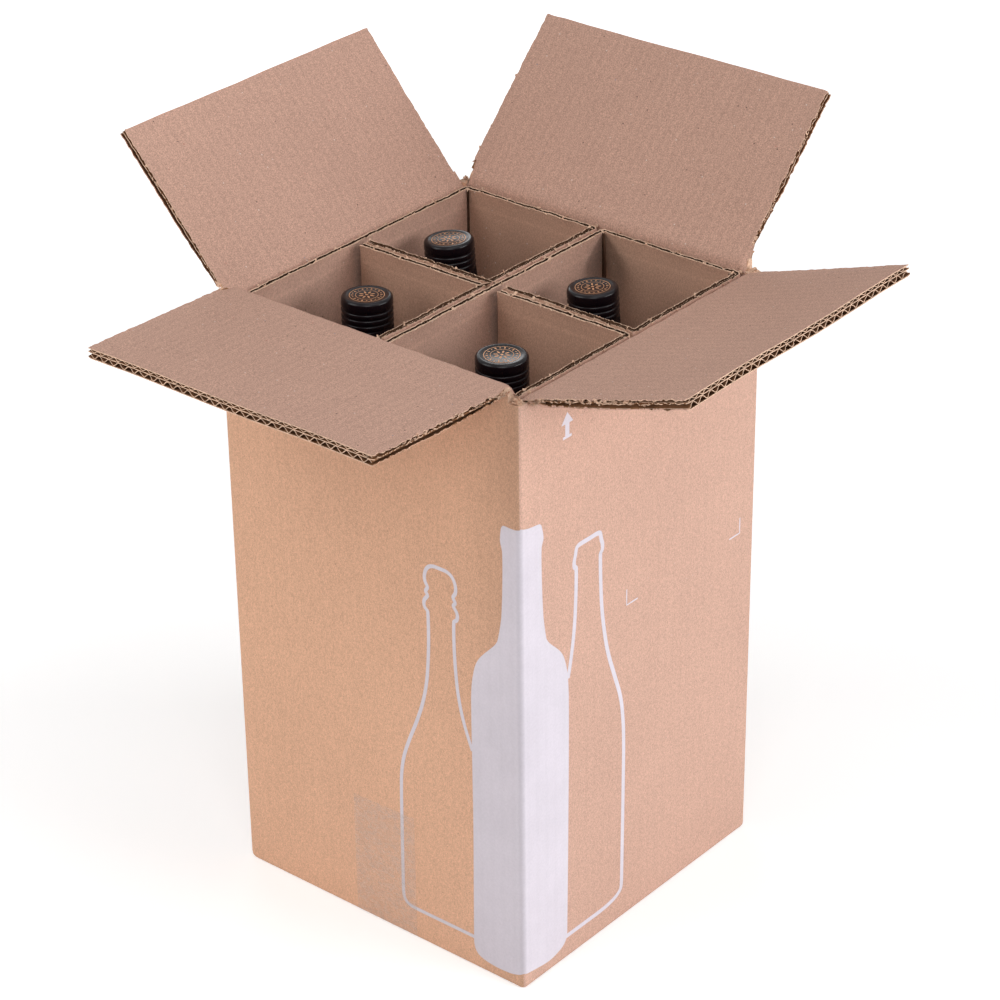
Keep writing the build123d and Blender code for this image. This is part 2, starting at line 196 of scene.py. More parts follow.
class Surface:
    """Material built up tone by tone over its base colour, in the piece's own space."""

    def __init__(self, name, colour):
        self.material = bpy.data.materials.new(name)
        self.material.use_nodes = True
        self.tree = self.material.node_tree
        self.place = self.node("ShaderNodeTexCoord").outputs["Object"]
        self.tint = (*colour, 1)
        self.relief = None

    def node(self, kind, inputs=None, **settings):
        return add_node(self.tree, kind, inputs, **settings)

    def moved(self, **changes):
        """Place for a pattern that is shifted, turned or stretched."""
        return self.node("ShaderNodeMapping", {"Vector": self.place, **changes}).outputs[0]

    def along(self, axis):
        """Position along an axis, 0 for X to 2 for Z, in metres."""
        return self.node("ShaderNodeSeparateXYZ", {0: self.place}).outputs[axis]

    def noise(self, scale, detail=2.0, rough=0.5, place=None, distortion=0.0):
        """Cloudy pattern between 0 and 1."""
        return self.node("ShaderNodeTexNoise", {
            "Vector": self.place if place is None else place,
            "Scale": scale, "Detail": detail, "Roughness": rough, "Distortion": distortion,
        }).outputs[0]

    def waves(self, axis, pitch, shape):
        """Bands that follow each other along an axis, one for every pitch in millimetres."""
        # At scale 1 the bands repeat every pi / 10 metres
        scale = math.pi / 10 / (pitch / MM)
        return self.node("ShaderNodeTexWave", {"Vector": self.place, "Scale": scale, **shape},
                         wave_type="BANDS", bands_direction=axis).outputs["Fac"]

    def spread(self, source, low, high, first, last):
        return spread(self.tree, source, low, high, first, last)

    def combine(self, operation, first, second):
        return self.node("ShaderNodeMath", {0: first, 1: second}, operation=operation).outputs[0]

    def mix(self, share, over, blend="MIX"):
        """Lays a colour or a grey over the tint."""
        self.tint = self.node("ShaderNodeMix", {"Factor": share, 6: self.tint, 7: over},
                              data_type="RGBA", blend_type=blend).outputs[2]

    def tone(self, source, dark, light, low, high):
        """Multiplies the tint by a grey, dark where the source is low and light where high."""
        self.mix(1.0, self.spread(source, low, high, dark, light), "MULTIPLY")

    def bump(self, height, strength, distance):
        """Raises the surface over what is raised already, distance in metres."""
        inputs = {"Height": height, "Strength": strength, "Distance": distance}
        if self.relief is not None:
            inputs["Normal"] = self.relief
        self.relief = self.node("ShaderNodeBump", inputs).outputs[0]

    def finish(self, rough, specular=0.5, metallic=0.0, alpha=1.0):
        """Feeds the shader and gives the material."""
        inputs = {"Base Color": self.tint, "Roughness": rough, "Specular IOR Level": specular,
                  "Metallic": metallic, "Alpha": alpha}
        if self.relief is not None:
            inputs["Normal"] = self.relief
        feed(self.tree, self.tree.nodes["Principled BSDF"], inputs)
        return self.material


# Flecks as (cells in a metre, shift, radius within a cell, colour, strength)
FLECKS = (
    (150.0, (0, 0, 0), 0.085, (70, 54, 48), 0.85),
    (165.0, (5, 2, 9), 0.09, (236, 224, 216), 0.7),
    (300.0, (8, 4, 1), 0.12, (120, 88, 70), 0.45),
    (90.0, (2, 6, 3), 0.05, (176, 70, 66), 0.6),
    (80.0, (7, 1, 5), 0.045, (112, 128, 150), 0.6),
)
EMPTY_CELLS = 0.62  # share of the cells that hold no fleck
SOLID_FLECK = 0.4  # share of a fleck's radius before it fades


def add_flecks(made, amount):
    """Scatters dark, pale and coloured fibres over a paper."""
    for scale, seat, reach, levels, strength in FLECKS:
        cells = made.node("ShaderNodeTexVoronoi", {
            "Vector": made.moved(Location=seat), "Scale": scale, "Randomness": 1.0,
        }, feature="F1").outputs
        spot = made.spread(cells["Distance"], reach, reach * SOLID_FLECK, 0.0, strength * amount)
        draw = made.node("ShaderNodeSeparateColor", {0: cells["Color"]}).outputs[0]
        held = made.combine("GREATER_THAN", draw, EMPTY_CELLS)
        made.mix(made.combine("MULTIPLY", spot, held), (*srgb(*levels), 1))


def paper(name, colour, grain, flecks=1.0, zones=(), bands="", pitch=None, painted_rib_shade=0.0):
    """Recycled kraft paper: grain, flecks, cloudy tone and the waves showing through it, as bump
    and painted shade.

    A zone is (axis, start, end, grey at the start, grey at the end), in millimetres.
    """
    made = Surface(name, colour)
    fine = made.noise(1400.0, 2.0, 0.75)
    long_ways = made.moved(Scale=(1300, 1300, 560), Location=(3, 1, 7))
    fibres = made.noise(1.0, 3.0, 0.6, long_ways)
    made.tone(fine, 1 - grain, 1 + grain, 0.36, 0.64)
    made.tone(fibres, 1 - grain * 0.6, 1 + grain * 0.6, 0.35, 0.65)
    made.tone(made.noise(9.0, 3.0, 0.55), 0.965, 1.03, 0.3, 0.7)
    made.tone(made.noise(55.0, 3.0, 0.6), 0.985, 1.012, 0.3, 0.7)
    for axis, start, end, first, last in zones:
        made.tone(made.along(axis), first, last, start / MM, end / MM)
    ribs = [made.waves(axis, pitch, {"Distortion": 0.25, "Detail": 1.0, "Detail Scale": 0.3})
            for axis in bands]
    # Painted shade and light along the waves, besides their bump
    for rib in ribs:
        made.tone(rib, 1 - painted_rib_shade, 1 + painted_rib_shade * 0.6, 0.0, 1.0)
    add_flecks(made, flecks)
    made.bump(fine, 0.25, 0.0003)
    for rib in ribs:
        made.bump(rib, 0.5, 0.00016)
    return made.finish(0.86, 0.22)


def torn_paper(name, colour, grain=0.16):
    """Bare fibres of a cut or torn edge, also used darker as painted shade for the waved paper
    and the core.
    """
    made = Surface(name, colour)
    fine = made.noise(900.0, 4.0)
    made.tone(fine, 1 - grain, 1 + grain * 0.5, 0.35, 0.65)
    made.tone(made.noise(160.0), 0.82, 1.06, 0.35, 0.62)
    made.bump(fine, 0.6, 0.0004)
    return made.finish(0.95, 0.1)


# Pitch of the waves that show through the print
PRINT_PITCH = 7.95


def ink_material(name, colour):
    """Pale print: thin over the waves, a little worn and cloudy."""
    made = Surface(name, colour)
    for scale, dark in ((700.0, 0.96), (60.0, 0.965), (12.0, 0.965)):
        made.tone(made.noise(scale, 3.0), dark, 1.02, 0.32, 0.68)
    for axis in "XY":
        made.tone(made.waves(axis, PRINT_PITCH, {"Distortion": 0.4}), 0.985, 1.0, 0.0, 0.5)
    # Darker on the shaded wall
    made.tone(made.along(0), 0.87, 1.0, (0.5 - WALL_X) / MM, (3 - WALL_X) / MM)
    return made.finish(0.6, 0.3)


def painted_metal(name):
    """Black satin lacquer on rolled metal."""
    made = Surface(name, srgb(17, 10, 15))
    cloud = made.noise(420.0, 4.0)
    made.bump(cloud, 0.03, 0.0002)
    return made.finish(made.spread(cloud, 0.0, 1.0, 0.17, 0.25), 0.2)


def copper_print(name):
    """Copper ink on the crowns of the caps."""
    made = Surface(name, srgb(212, 154, 110))
    made.tone(made.noise(900.0), 0.7, 1.1, 0.35, 0.65)
    return made.finish(0.45, metallic=0.35)


def dark_glass(name):
    """Nearly black green glass, full."""
    made = Surface(name, srgb(22, 32, 20))
    cloud = made.noise(25.0)
    made.tone(cloud, 0.8, 1.15, 0.3, 0.7)
    made.bump(cloud, 0.05, 0.001)
    return made.finish(0.06, 0.6)


def tape_material(name):
    """Clear tape with pressed wrinkles that catch a little light."""
    made = Surface(name, srgb(222, 208, 198))
    turned = made.moved(Scale=(1, 1, 1.9), Rotation=(0.5, 0, 0))
    wrinkles = made.noise(170.0, 5.0, place=turned, distortion=1.6)
    made.bump(wrinkles, 0.4, 0.0004)
    return made.finish(0.22, alpha=made.spread(wrinkles, 0.42, 0.66, 0.13, 0.34))


def outer_paper(name, colours, board):
    """Outer liner of the walls and flaps, at left and right or at front and back."""
    if name.endswith("x"):
        # Darker towards the front corner with painted shade, paler towards the floor with painted
        # light
        zones = [(1, -WALL_Y, -70, 0.84, 1.0), (2, 40, 220, 1.11, 1.0)]
        colour, bands = colours.outer_x, "Y"
    else:
        # Scuffed pale beside the front corner
        zones = [(0, 4 - WALL_X, 11 - WALL_X, 1.07, 1.0)]
        # Same paper as the side walls, tinted cooler as painted light
        colour, bands = colours.outer_y, "X"
    return paper(name, colour, 0.14, 0.4, zones, bands, board.coarse_pitch, 0.01)


def inner_paper(name, colours, board):
    """Inner liner of the walls and flaps."""
    bands = "Y" if name.endswith("x") else "X"
    return paper(name, colours.inner, 0.21, 1.15, (), bands, board.fine_pitch, 0.03)


def cell_paper(name, colours):
    """Liner of the sleeves, lighter on the faces that look to the front or back as painted light.
    """
    # Painted light: a lighter, bluer copy for the faces that look to the front or back
    lift = (1.16, 1.2, 1.3) if name.endswith("y") else (1.0, 1.0, 1.0)
    colour = [share * value for share, value in zip(lift, colours.cell)]
    # Line pressed into the sleeves below their rim
    zones = [(2, RIM_Z - 12, RIM_Z - 11, 1.0, 1.07), (2, RIM_Z - 10.4, RIM_Z - 8.5, 1.0, 0.92)]
    return paper(name, colour, 0.15, zones=zones)


def make_material(name):
    """Material for a name; _x and _y say along which axis its faces look."""
    colours = bpy.context.scene.box_colours
    board = bpy.context.scene.box_board
    if name.startswith("outer"):
        return outer_paper(name, colours, board)
    if name.startswith("inner"):
        return inner_paper(name, colours, board)
    if name.startswith("cell_liner"):
        return cell_paper(name, colours)
    return {
        # Waved paper: darkened as painted shade inside the board
        "flute_paper": lambda: torn_paper(name, colours.flute, 0.1),
        "cut_edge": lambda: torn_paper(name, colours.cut),
        # Core: a dark colour that is painted shade inside the board
        "dark_core": lambda: torn_paper(name, srgb(84, 60, 45), 0.2),
        "pale_ink": lambda: ink_material(name, colours.ink),
        "black_cap": lambda: painted_metal(name),
        "copper_ink": lambda: copper_print(name),
        "bottle_glass": lambda: dark_glass(name),
        "clear_tape": lambda: tape_material(name),
    }[name]()


MADE = {}


def material(name):
    """Material by name, made once."""
    if name not in MADE:
        MADE[name] = make_material(name)
    return MADE[name]


# Mesh helpers


def finish_piece(name, bm, names, body, stands_for=(), smooth=35.0, outward=True):
    """Makes the object from a bmesh in millimetres, with its materials and its body."""
    bmesh.ops.scale(bm, vec=(1 / MM,) * 3, verts=bm.verts)
    if outward:
        bmesh.ops.recalc_face_normals(bm, faces=bm.faces)
    mesh = bpy.data.meshes.new(name)
    bm.to_mesh(mesh)
    bm.free()
    for entry in names:
        mesh.materials.append(material(entry))
    if smooth:
        mesh.shade_smooth()
        mesh.set_sharp_from_angle(angle=math.radians(smooth))
    piece = bpy.data.objects.new(name, mesh)
    bpy.context.scene.collection.objects.link(piece)
    if body:
        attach(piece, body)
    if stands_for:
        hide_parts(*stands_for)
    return piece


def grid_piece(bm, columns, rows, place, index=0):
    """Grid of columns by rows points, put at place(column, row)."""
    made = bmesh.ops.create_grid(bm, x_segments=columns - 1, y_segments=rows - 1, size=0.5)
    faces = {}
    for vertex in made["verts"]:
        column = round((vertex.co.x + 0.5) * (columns - 1))
        row = round((vertex.co.y + 0.5) * (rows - 1))
        vertex.co = place(column, row)
        faces.update(dict.fromkeys(vertex.link_faces))
    for face in faces:
        face.material_index = index
    return list(faces)


def around(made, kind):
    """Edges or faces at the points that a bmesh call has made."""
    return {item for vertex in made["verts"] for item in getattr(vertex, kind)}


def close_up(bm, reach):
    """Welds points that lie within reach and fills the open ends."""
    bmesh.ops.remove_doubles(bm, verts=bm.verts, dist=reach)
    ends = [edge for edge in bm.edges if edge.is_boundary]
    bmesh.ops.holes_fill(bm, edges=ends, sides=0)


def thicken(bm, faces, depth, toward):
    """Gives a sheet its thickness on the side that its first face has towards a direction."""
    bm.normal_update()
    sign = -1 if faces[0].normal.dot(toward) > 0 else 1
    bmesh.ops.solidify(bm, geom=faces, thickness=sign * depth)


def jitter(seat, size, reach):
    """Smooth random value about zero at a place."""
    return noise.noise(Vector(seat) / size) * reach


# Half the gap between two flaps that are shut
SEAM = 0.4


class Side:
    """One top flap's place: k runs along the crease, s up the plate, n to its inner face."""

    def __init__(self, name):
        self.name = name
        self.out = OUTWARD[name]
        joint = JOINTS["flap_" + name]
        self.pivot = Vector(joint["pos_m"]) * MM
        self.tilt = math.radians(-joint["range_deg"][0] - 90)
        self.along = self.out.cross(UP)
        self.plate = self.out * math.sin(self.tilt) + UP * math.cos(self.tilt)
        self.inward = UP * math.sin(self.tilt) - self.out * math.cos(self.tilt)
        # The plate's direction and its inner side across the crease, as (out, up)
        self.slope = Vector((math.sin(self.tilt), math.cos(self.tilt)))
        self.facing = Vector((-math.cos(self.tilt), math.sin(self.tilt)))
        low, high = box_mm("flap_" + name)
        self.half = (high - low).dot(Vector(map(abs, self.along))) / 2
        self.length = abs(self.pivot.dot(self.out)) - SEAM
        self.axis = "x" if abs(self.out.x) > 0.5 else "y"

    def at(self, k, s, n):
        """Point of the flap from its own lengths."""
        return self.pivot + self.along * k + self.plate * s + self.inward * n

    def wall(self, k, out, up):
        """Point of the wall from the crease line."""
        return self.pivot + self.along * k + self.out * out + UP * up


# Levels of a flap's inner and outer face over the joint's line
INNER_N = 0.5
OUTER_N = INNER_N - BOARD
# Depth of the crushed board under that line, and where the bending liner ends
LIP = 0.5
STRIP_END = 6.0
# Columns of a liner, by their distance from its side edge
CUTS = (0.0, 0.7, 1.6, 3.0, 6.0, 14.0, 30.0, 50.0, 70.0, 90.0)


def torn_profile(rng, half_length, count, deepest):
    """Nicks along a cut edge as (middle, half width, depth)."""
    return [
        (rng.uniform(0, half_length), rng.uniform(0.8, 3.0), rng.uniform(0.3, 1.0) * deepest)
        for _ in range(count)
    ]


def nick_depth(nicks, position):
    """How far the edge is torn back at a position."""
    depth = 0.0
    for middle, reach, deep in nicks:
        gap = abs(position - middle) / reach
        if gap < 1:
            depth = max(depth, deep * (1 - gap * gap))
    return depth


CRUSH_REACH = 6


def crushed(side, k, s, n):
    """Level of a paper near the cut edges, where the die has pressed the board."""
    rim = max(0.0, 1 - (side.half - abs(k)) / CRUSH_REACH) ** 2
    root = max(0.0, 1 - abs(s - 4) / 38)
    end = max(0.0, 1 - (side.length - s) / CRUSH_REACH) ** 2
    return INNER_N + (n - INNER_N) * (1 - max(rim * (0.25 + 0.36 * root), 0.09 * end))


LINER_ROWS = 150
NICKS = 16
WAVE_ROWS = 16
WAVE_COLUMNS = 10  # in one wave


def liner_sheet(bm, side, rng, start, level, thickness, index, ragged, warp):
    """Flat liner of a flap with torn side edges; a negative thickness grows outwards."""
    seats = [side.half - cut for cut in CUTS]
    seats = [-seat for seat in seats] + seats[::-1]
    nicks = [torn_profile(rng, side.length, NICKS, 1.6 * torn) for torn in ragged]
    seed = rng.uniform(0, 100)

    def place(column, row):
        k = seats[column]
        near = max(0.0, 1 - (side.half - abs(k)) / 5)
        v = row / (LINER_ROWS - 1)
        s = start + (side.length - start) * v
        hand = 1 if k > 0 else 0
        torn = ragged[hand]
        back = nick_depth(nicks[hand], s) + 0.25 + jitter((seed, s, hand), 1.2, 0.8 * torn)
        curl = jitter((seed, s, 5 + hand), 2.8, 2.0 * torn) * near ** 2
        end = jitter((k, seed, 4), 1.6, 0.28) + jitter((k, seed, 9), 9, 0.35)
        s += end * v ** 40
        k -= math.copysign(back * near, k)
        return side.at(k, s, crushed(side, k, s, level + curl) + warp(k / side.half, v))

    faces = grid_piece(bm, len(seats), LINER_ROWS, place, index)
    thicken(bm, faces, abs(thickness), side.inward * thickness)


def wave_sheet(bm, side, start, low, high, pitch, thickness, index, seed, warp):
    """Waved paper between two liners, running from the root to the free edge."""
    count = int((2 * side.half - 4.0) / pitch * WAVE_COLUMNS)
    step = pitch / WAVE_COLUMNS
    middle, swing = (low + high - thickness) / 2, (high - low - thickness) / 2

    def place(column, row):
        k = (column - count / 2) * step
        v = row / (WAVE_ROWS - 1)
        phase = column / WAVE_COLUMNS * 2 * math.pi + jitter((k, seed, 2), 30, 0.9)
        # Sides of the wave are nearly straight, its crests short and round
        shape = math.sin(phase)
        shape = math.copysign(min(1.0, abs(shape) * 1.12), shape)
        shape = (shape + math.asin(math.sin(phase)) / (math.pi / 2)) / 2
        s = start + (side.length - 0.25 - start) * v
        s += jitter((k, seed, 6), 1.1, 0.5) * v ** 6
        n = crushed(side, k, s, middle + swing * shape)
        return side.at(k, s, n + warp(k / side.half, v))

    faces = grid_piece(bm, count + 1, WAVE_ROWS, place, index)
    thicken(bm, faces, thickness, side.inward)


SCRAP_PAPER = 0.25


def scraps(bm, rng, seats, size, index):
    """Small curled bits of torn paper."""
    for seat in seats:
        turn = Matrix.Rotation(rng.uniform(0, 6.28), 3,
                               Vector([rng.uniform(-1, 1) for _ in range(3)]).normalized())
        reach = size * rng.uniform(0.5, 1.2)
        seed = rng.uniform(0, 99)

        def place(column, row):
            x, y = (column / 4 - 0.5) * reach * 1.8, (row / 2 - 0.5) * reach
            curl = jitter((x, y, seed), 1.1, 1.0) + x * x / reach * 0.4
            return seat + turn @ Vector((x, y, curl))

        faces = grid_piece(bm, 5, 3, place, index)
        bmesh.ops.solidify(bm, geom=faces, thickness=SCRAP_PAPER)


# Lift of each flap's two free corners, and how far its plate sits to one side, in mm
BENT = {
    "front": (3.6, 2.0, 1.5),
    "back": (2.0, -0.8, -1.2),
    "right": (0.0, 0.0, 2.2),
    "left": (-1.0, 0.0, 0.0),
}
# How badly the cut edges are torn, on the side of smaller x or y and on the other
TORN = {"front": (1.3, 0.35), "back": (0.6, 0.35), "right": (1.0, 0.4), "left": (1.3, 0.4)}
# Materials of a flap, by their place in its list
# The waved paper's material is darkened as painted shade inside the board
INNER, OUTER, SHADED_WAVED, CUT = range(4)
# Foot of the full board on its outer side, and the slope of the crushed root in degrees
ROOT_FOOT = 3.0
ROOT_SLOPE = 34


def make_flap(side, seed):
    """Double-wall board as five papers, open at its edges."""
    board = bpy.context.scene.box_board
    rng = random.Random(seed)
    bm = bmesh.new()
    root = ROOT_FOOT + (BOARD - 1) * math.tan(math.radians(ROOT_SLOPE))
    bow = rng.uniform(-0.5, 0.5)
    world_k = side.along.x + side.along.y
    lift_high, lift_low, _ = BENT[side.name]

    def warp(u, v):
        # The corner of greater x or y takes the first lift
        share = 0.5 + 0.5 * u * world_k
        lift = lift_low + (lift_high - lift_low) * share
        wavy = (bow * (1 - u * u) + 0.4 * math.sin(u * 5 + seed)) * min(1.0, v * 2) ** 2
        return wavy + lift * v ** 1.3

    liner = board.liner
    middle = INNER_N - board.middle
    torn = [share * board.ragged for share in TORN[side.name]]
    if world_k < 0:
        torn.reverse()
    # Scraps along the side edges, then larger ones beside the crease:
    # number, distance from the edge, from the crease, level, size
    for count, inset, run, level, size in (
        (45, (0.4, 0.9), (5, side.length * 0.8), (-1.2, 0.2), 1.25),
        (14, (0.5, 1.6), (0.8, 6), (-2.6, -0.2), 1.9),
    ):
        seats = [
            side.at(hand * (side.half - rng.uniform(*inset)), rng.uniform(*run),
                    rng.uniform(*level))
            for hand in (-1, 1) for _ in range(int(count * torn[hand > 0]))
        ]
        scraps(bm, rng, seats, size, CUT)
    liner_sheet(bm, side, rng, STRIP_END, INNER_N, -liner, INNER, torn, warp)
    liner_sheet(bm, side, rng, root, OUTER_N, liner, OUTER, torn, warp)
    liner_sheet(bm, side, rng, root + 1, middle, -liner * 0.9, SHADED_WAVED, torn, warp)
    wave_sheet(bm, side, root + 1, OUTER_N + liner, middle - liner, board.coarse_pitch,
               board.medium, SHADED_WAVED, seed, warp)
    wave_sheet(bm, side, root + 1, middle, INNER_N - liner, board.fine_pitch,
               board.medium, SHADED_WAVED, seed + 3, warp)
    # Crushed root between the crease and the full board
    under = INNER_N - 0.9
    profile = [(0.4, under), (STRIP_END, under), (root + 2, under), (root + 2, OUTER_N + 0.1),
               (root, OUTER_N), (ROOT_FOOT, -LIP - 0.4), (0.4, -LIP - 0.3)]
    columns = 60

    def place(column, row):
        s, n = profile[row % len(profile)]
        k = column / (columns - 1) * 2 - 1
        k = math.copysign(abs(k) ** 0.6, k) * (side.half - 0.9)
        back = jitter((s, n, seed), 2, 0.8) * max(0.0, 1 - (side.half - abs(k)) / 4)
        return side.at(k - math.copysign(abs(back), k), s, crushed(side, k, s, n))

    grid_piece(bm, columns, len(profile) + 1, place, OUTER)
    close_up(bm, 0.001)
    bmesh.ops.recalc_face_normals(bm, faces=bm.faces)
    # Insides of the liners take the waved paper's painted shade, cut ends of every paper show
    # bare fibres
    for face in bm.faces:
        inward = face.normal.dot(side.inward)
        if face.material_index == INNER and inward < -0.5:
            face.material_index = SHADED_WAVED
        elif face.material_index == OUTER and inward > 0.5:
            face.material_index = SHADED_WAVED
        if abs(face.normal.dot(side.plate)) > 0.8 or abs(face.normal.dot(side.along)) > 0.93:
            face.material_index = CUT
    shift = side.along * world_k * BENT[side.name][2]
    bmesh.ops.translate(bm, vec=shift, verts=bm.verts)
    finish_piece("board_flap_" + side.name, bm,
                 ("inner_" + side.axis, "outer_" + side.axis, "flute_paper", "cut_edge"),
                 "flap_" + side.name, ("flap_" + side.name,), 40)


# Depth of the joint's line behind the wall's outer face, foot of the bending liner under
# that line, and reach of its bend on both sides of the corner
PIVOT_DEPTH = 1.95
STRIP_FOOT = 9.0
BEND_REACH = 3.6


def inner_crease_path(side):
    """Inner liner from the wall over the crease to the flap, as (out, up) from the pivot."""
    face = BOARD - PIVOT_DEPTH
    start = side.facing * INNER_N
    # Where the flap's inner face would meet the wall's inner face
    run = (-face - start.x) / side.slope.x
    corner = start + side.slope * run
    first = Vector((-face, corner.y - BEND_REACH))
    last = corner + side.slope * BEND_REACH
    points = [Vector((-face, -STRIP_FOOT)), Vector((-face, (first.y - STRIP_FOOT) / 2))]
    for step in range(9):
        t = step / 8
        points.append(first * (1 - t) ** 2 + corner * 2 * t * (1 - t) + last * t * t)
    end = start + side.slope * (STRIP_END + 0.5) - side.facing * 0.03
    for step in range(1, 5):
        points.append(last.lerp(end, step / 4))
    return points


def make_crease(side, seed):
    """Liners bent over a crease: the inner one over the ridge, the outer one in the fold."""
    columns = 90
    inner = inner_crease_path(side)
    outer = [Vector((2.0, -4.2)), Vector((1.95, -3.0)), Vector((1.5, -1.7)), Vector((1.3, -0.9))]
    outer += [side.slope * up - side.facing * under
              for up, under in ((2.2, 0.62), (3.0, 0.75), (4.0, 2.1))]
    for name, path, reach, depth, kinds in (
        ("crease_inner_", inner, 3.4, 0.4, ("inner_" + side.axis, "cut_edge")),
        ("crease_outer_", outer, 1.1, 0.25, ("outer_" + side.axis, "cut_edge")),
    ):
        bm = bmesh.new()

        def place(column, row):
            k = (column / (columns - 1) * 2 - 1) * (side.half - 0.15)
            point = path[row]
            wobble = jitter((k, row * 1.5, seed), 7, 0.35) if 2 < row < len(path) - 3 else 0.0
            if name == "crease_outer_":
                wobble *= 0.3
            fall = max(0.0, 1 - (side.half - abs(k)) / 5) ** 2 * (side.pivot.z - RIM_Z) * 0.55
            fall *= max(0.0, min(1.0, row / 4, (len(path) - 1 - row) / 4))
            return side.wall(k, point.x - wobble * 0.7, point.y + wobble * 0.7 - fall)

        faces = grid_piece(bm, columns, len(path), place)
        thicken(bm, faces, depth, side.out if name == "crease_inner_" else -side.out)
        for face in bm.faces:
            if abs(face.normal.dot(side.along)) > 0.9:
                face.material_index = 1
        piece = finish_piece(name + side.name, bm, kinds, None, (), 50)
        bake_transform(piece)


# Radius of the corner at the end of each wall, going round to the left
CORNERS = {"front": CORNER_R, "right": CORNER_R, "back": 7.0, "left": CORNER_R}
CORNER_STEPS = 6
CREASE_STEPS = 40
STEP_WIDTH = 0.05  # of the slanted step at each end of a crease


def wall_columns():
    """Points round the wall as (outer, inner, side of a crease or None)."""
    columns = []
    before = CORNERS["left"]
    for name in ("front", "right", "back", "left"):
        side = Side(name)
        along = -side.along
        reach = WALL_X if side.axis == "x" else WALL_Y
        half = WALL_Y if side.axis == "x" else WALL_X
        inside = half - BOARD
        radius = CORNERS[name]
        straight = half - radius
        cuts = [before - half, -side.half - STEP_WIDTH]
        before = radius
        cuts += [side.half * (2 * step / CREASE_STEPS - 1) for step in range(CREASE_STEPS + 1)]
        cuts += [side.half + STEP_WIDTH, straight]
        for cut in cuts:
            free = abs(cut) > side.half + STEP_WIDTH / 5
            out_point = side.out * reach + along * cut
            in_point = side.out * (reach - BOARD) + along * max(-inside, min(inside, cut))
            columns.append((out_point, in_point, None if free else side))
        centre = side.out * (reach - radius) + along * straight
        for step in range(1, CORNER_STEPS):
            angle = step / CORNER_STEPS * math.pi / 2
            out_point = (centre + side.out * radius * math.cos(angle)
                         + along * radius * math.sin(angle))
            corner = side.out * (reach - BOARD) + along * inside
            columns.append((out_point, corner, None))
    return columns


def lies_inside(x, y):
    """Whether a place on the wall, in millimetres, is on its inner side."""
    return max(abs(x) - WALL_X, abs(y) - WALL_Y) + BOARD < 0.05


# Materials of the walls, by their place in the list
OUTER_X, OUTER_Y, INNER_X, INNER_Y, WALL_CUT = range(5)
# How far the bottom edge is rounded, as (inset, height)
BOTTOM_EDGE = ((0.0, 3.2), (0.25, 1.5), (0.9, 0.5), (2.4, 0.0))
# Depths under a joint's line of the inner edge, two steps of the crushed top and the outer edge
CREASE_TOP = (9.6, 2.4, 1.2, 2.9)
# Distances of those two steps from the outer face
TOP_STEPS = (3.6, 2.3)
# Seam between the floor flaps, half of its width
FLOOR_SEAM = 0.5


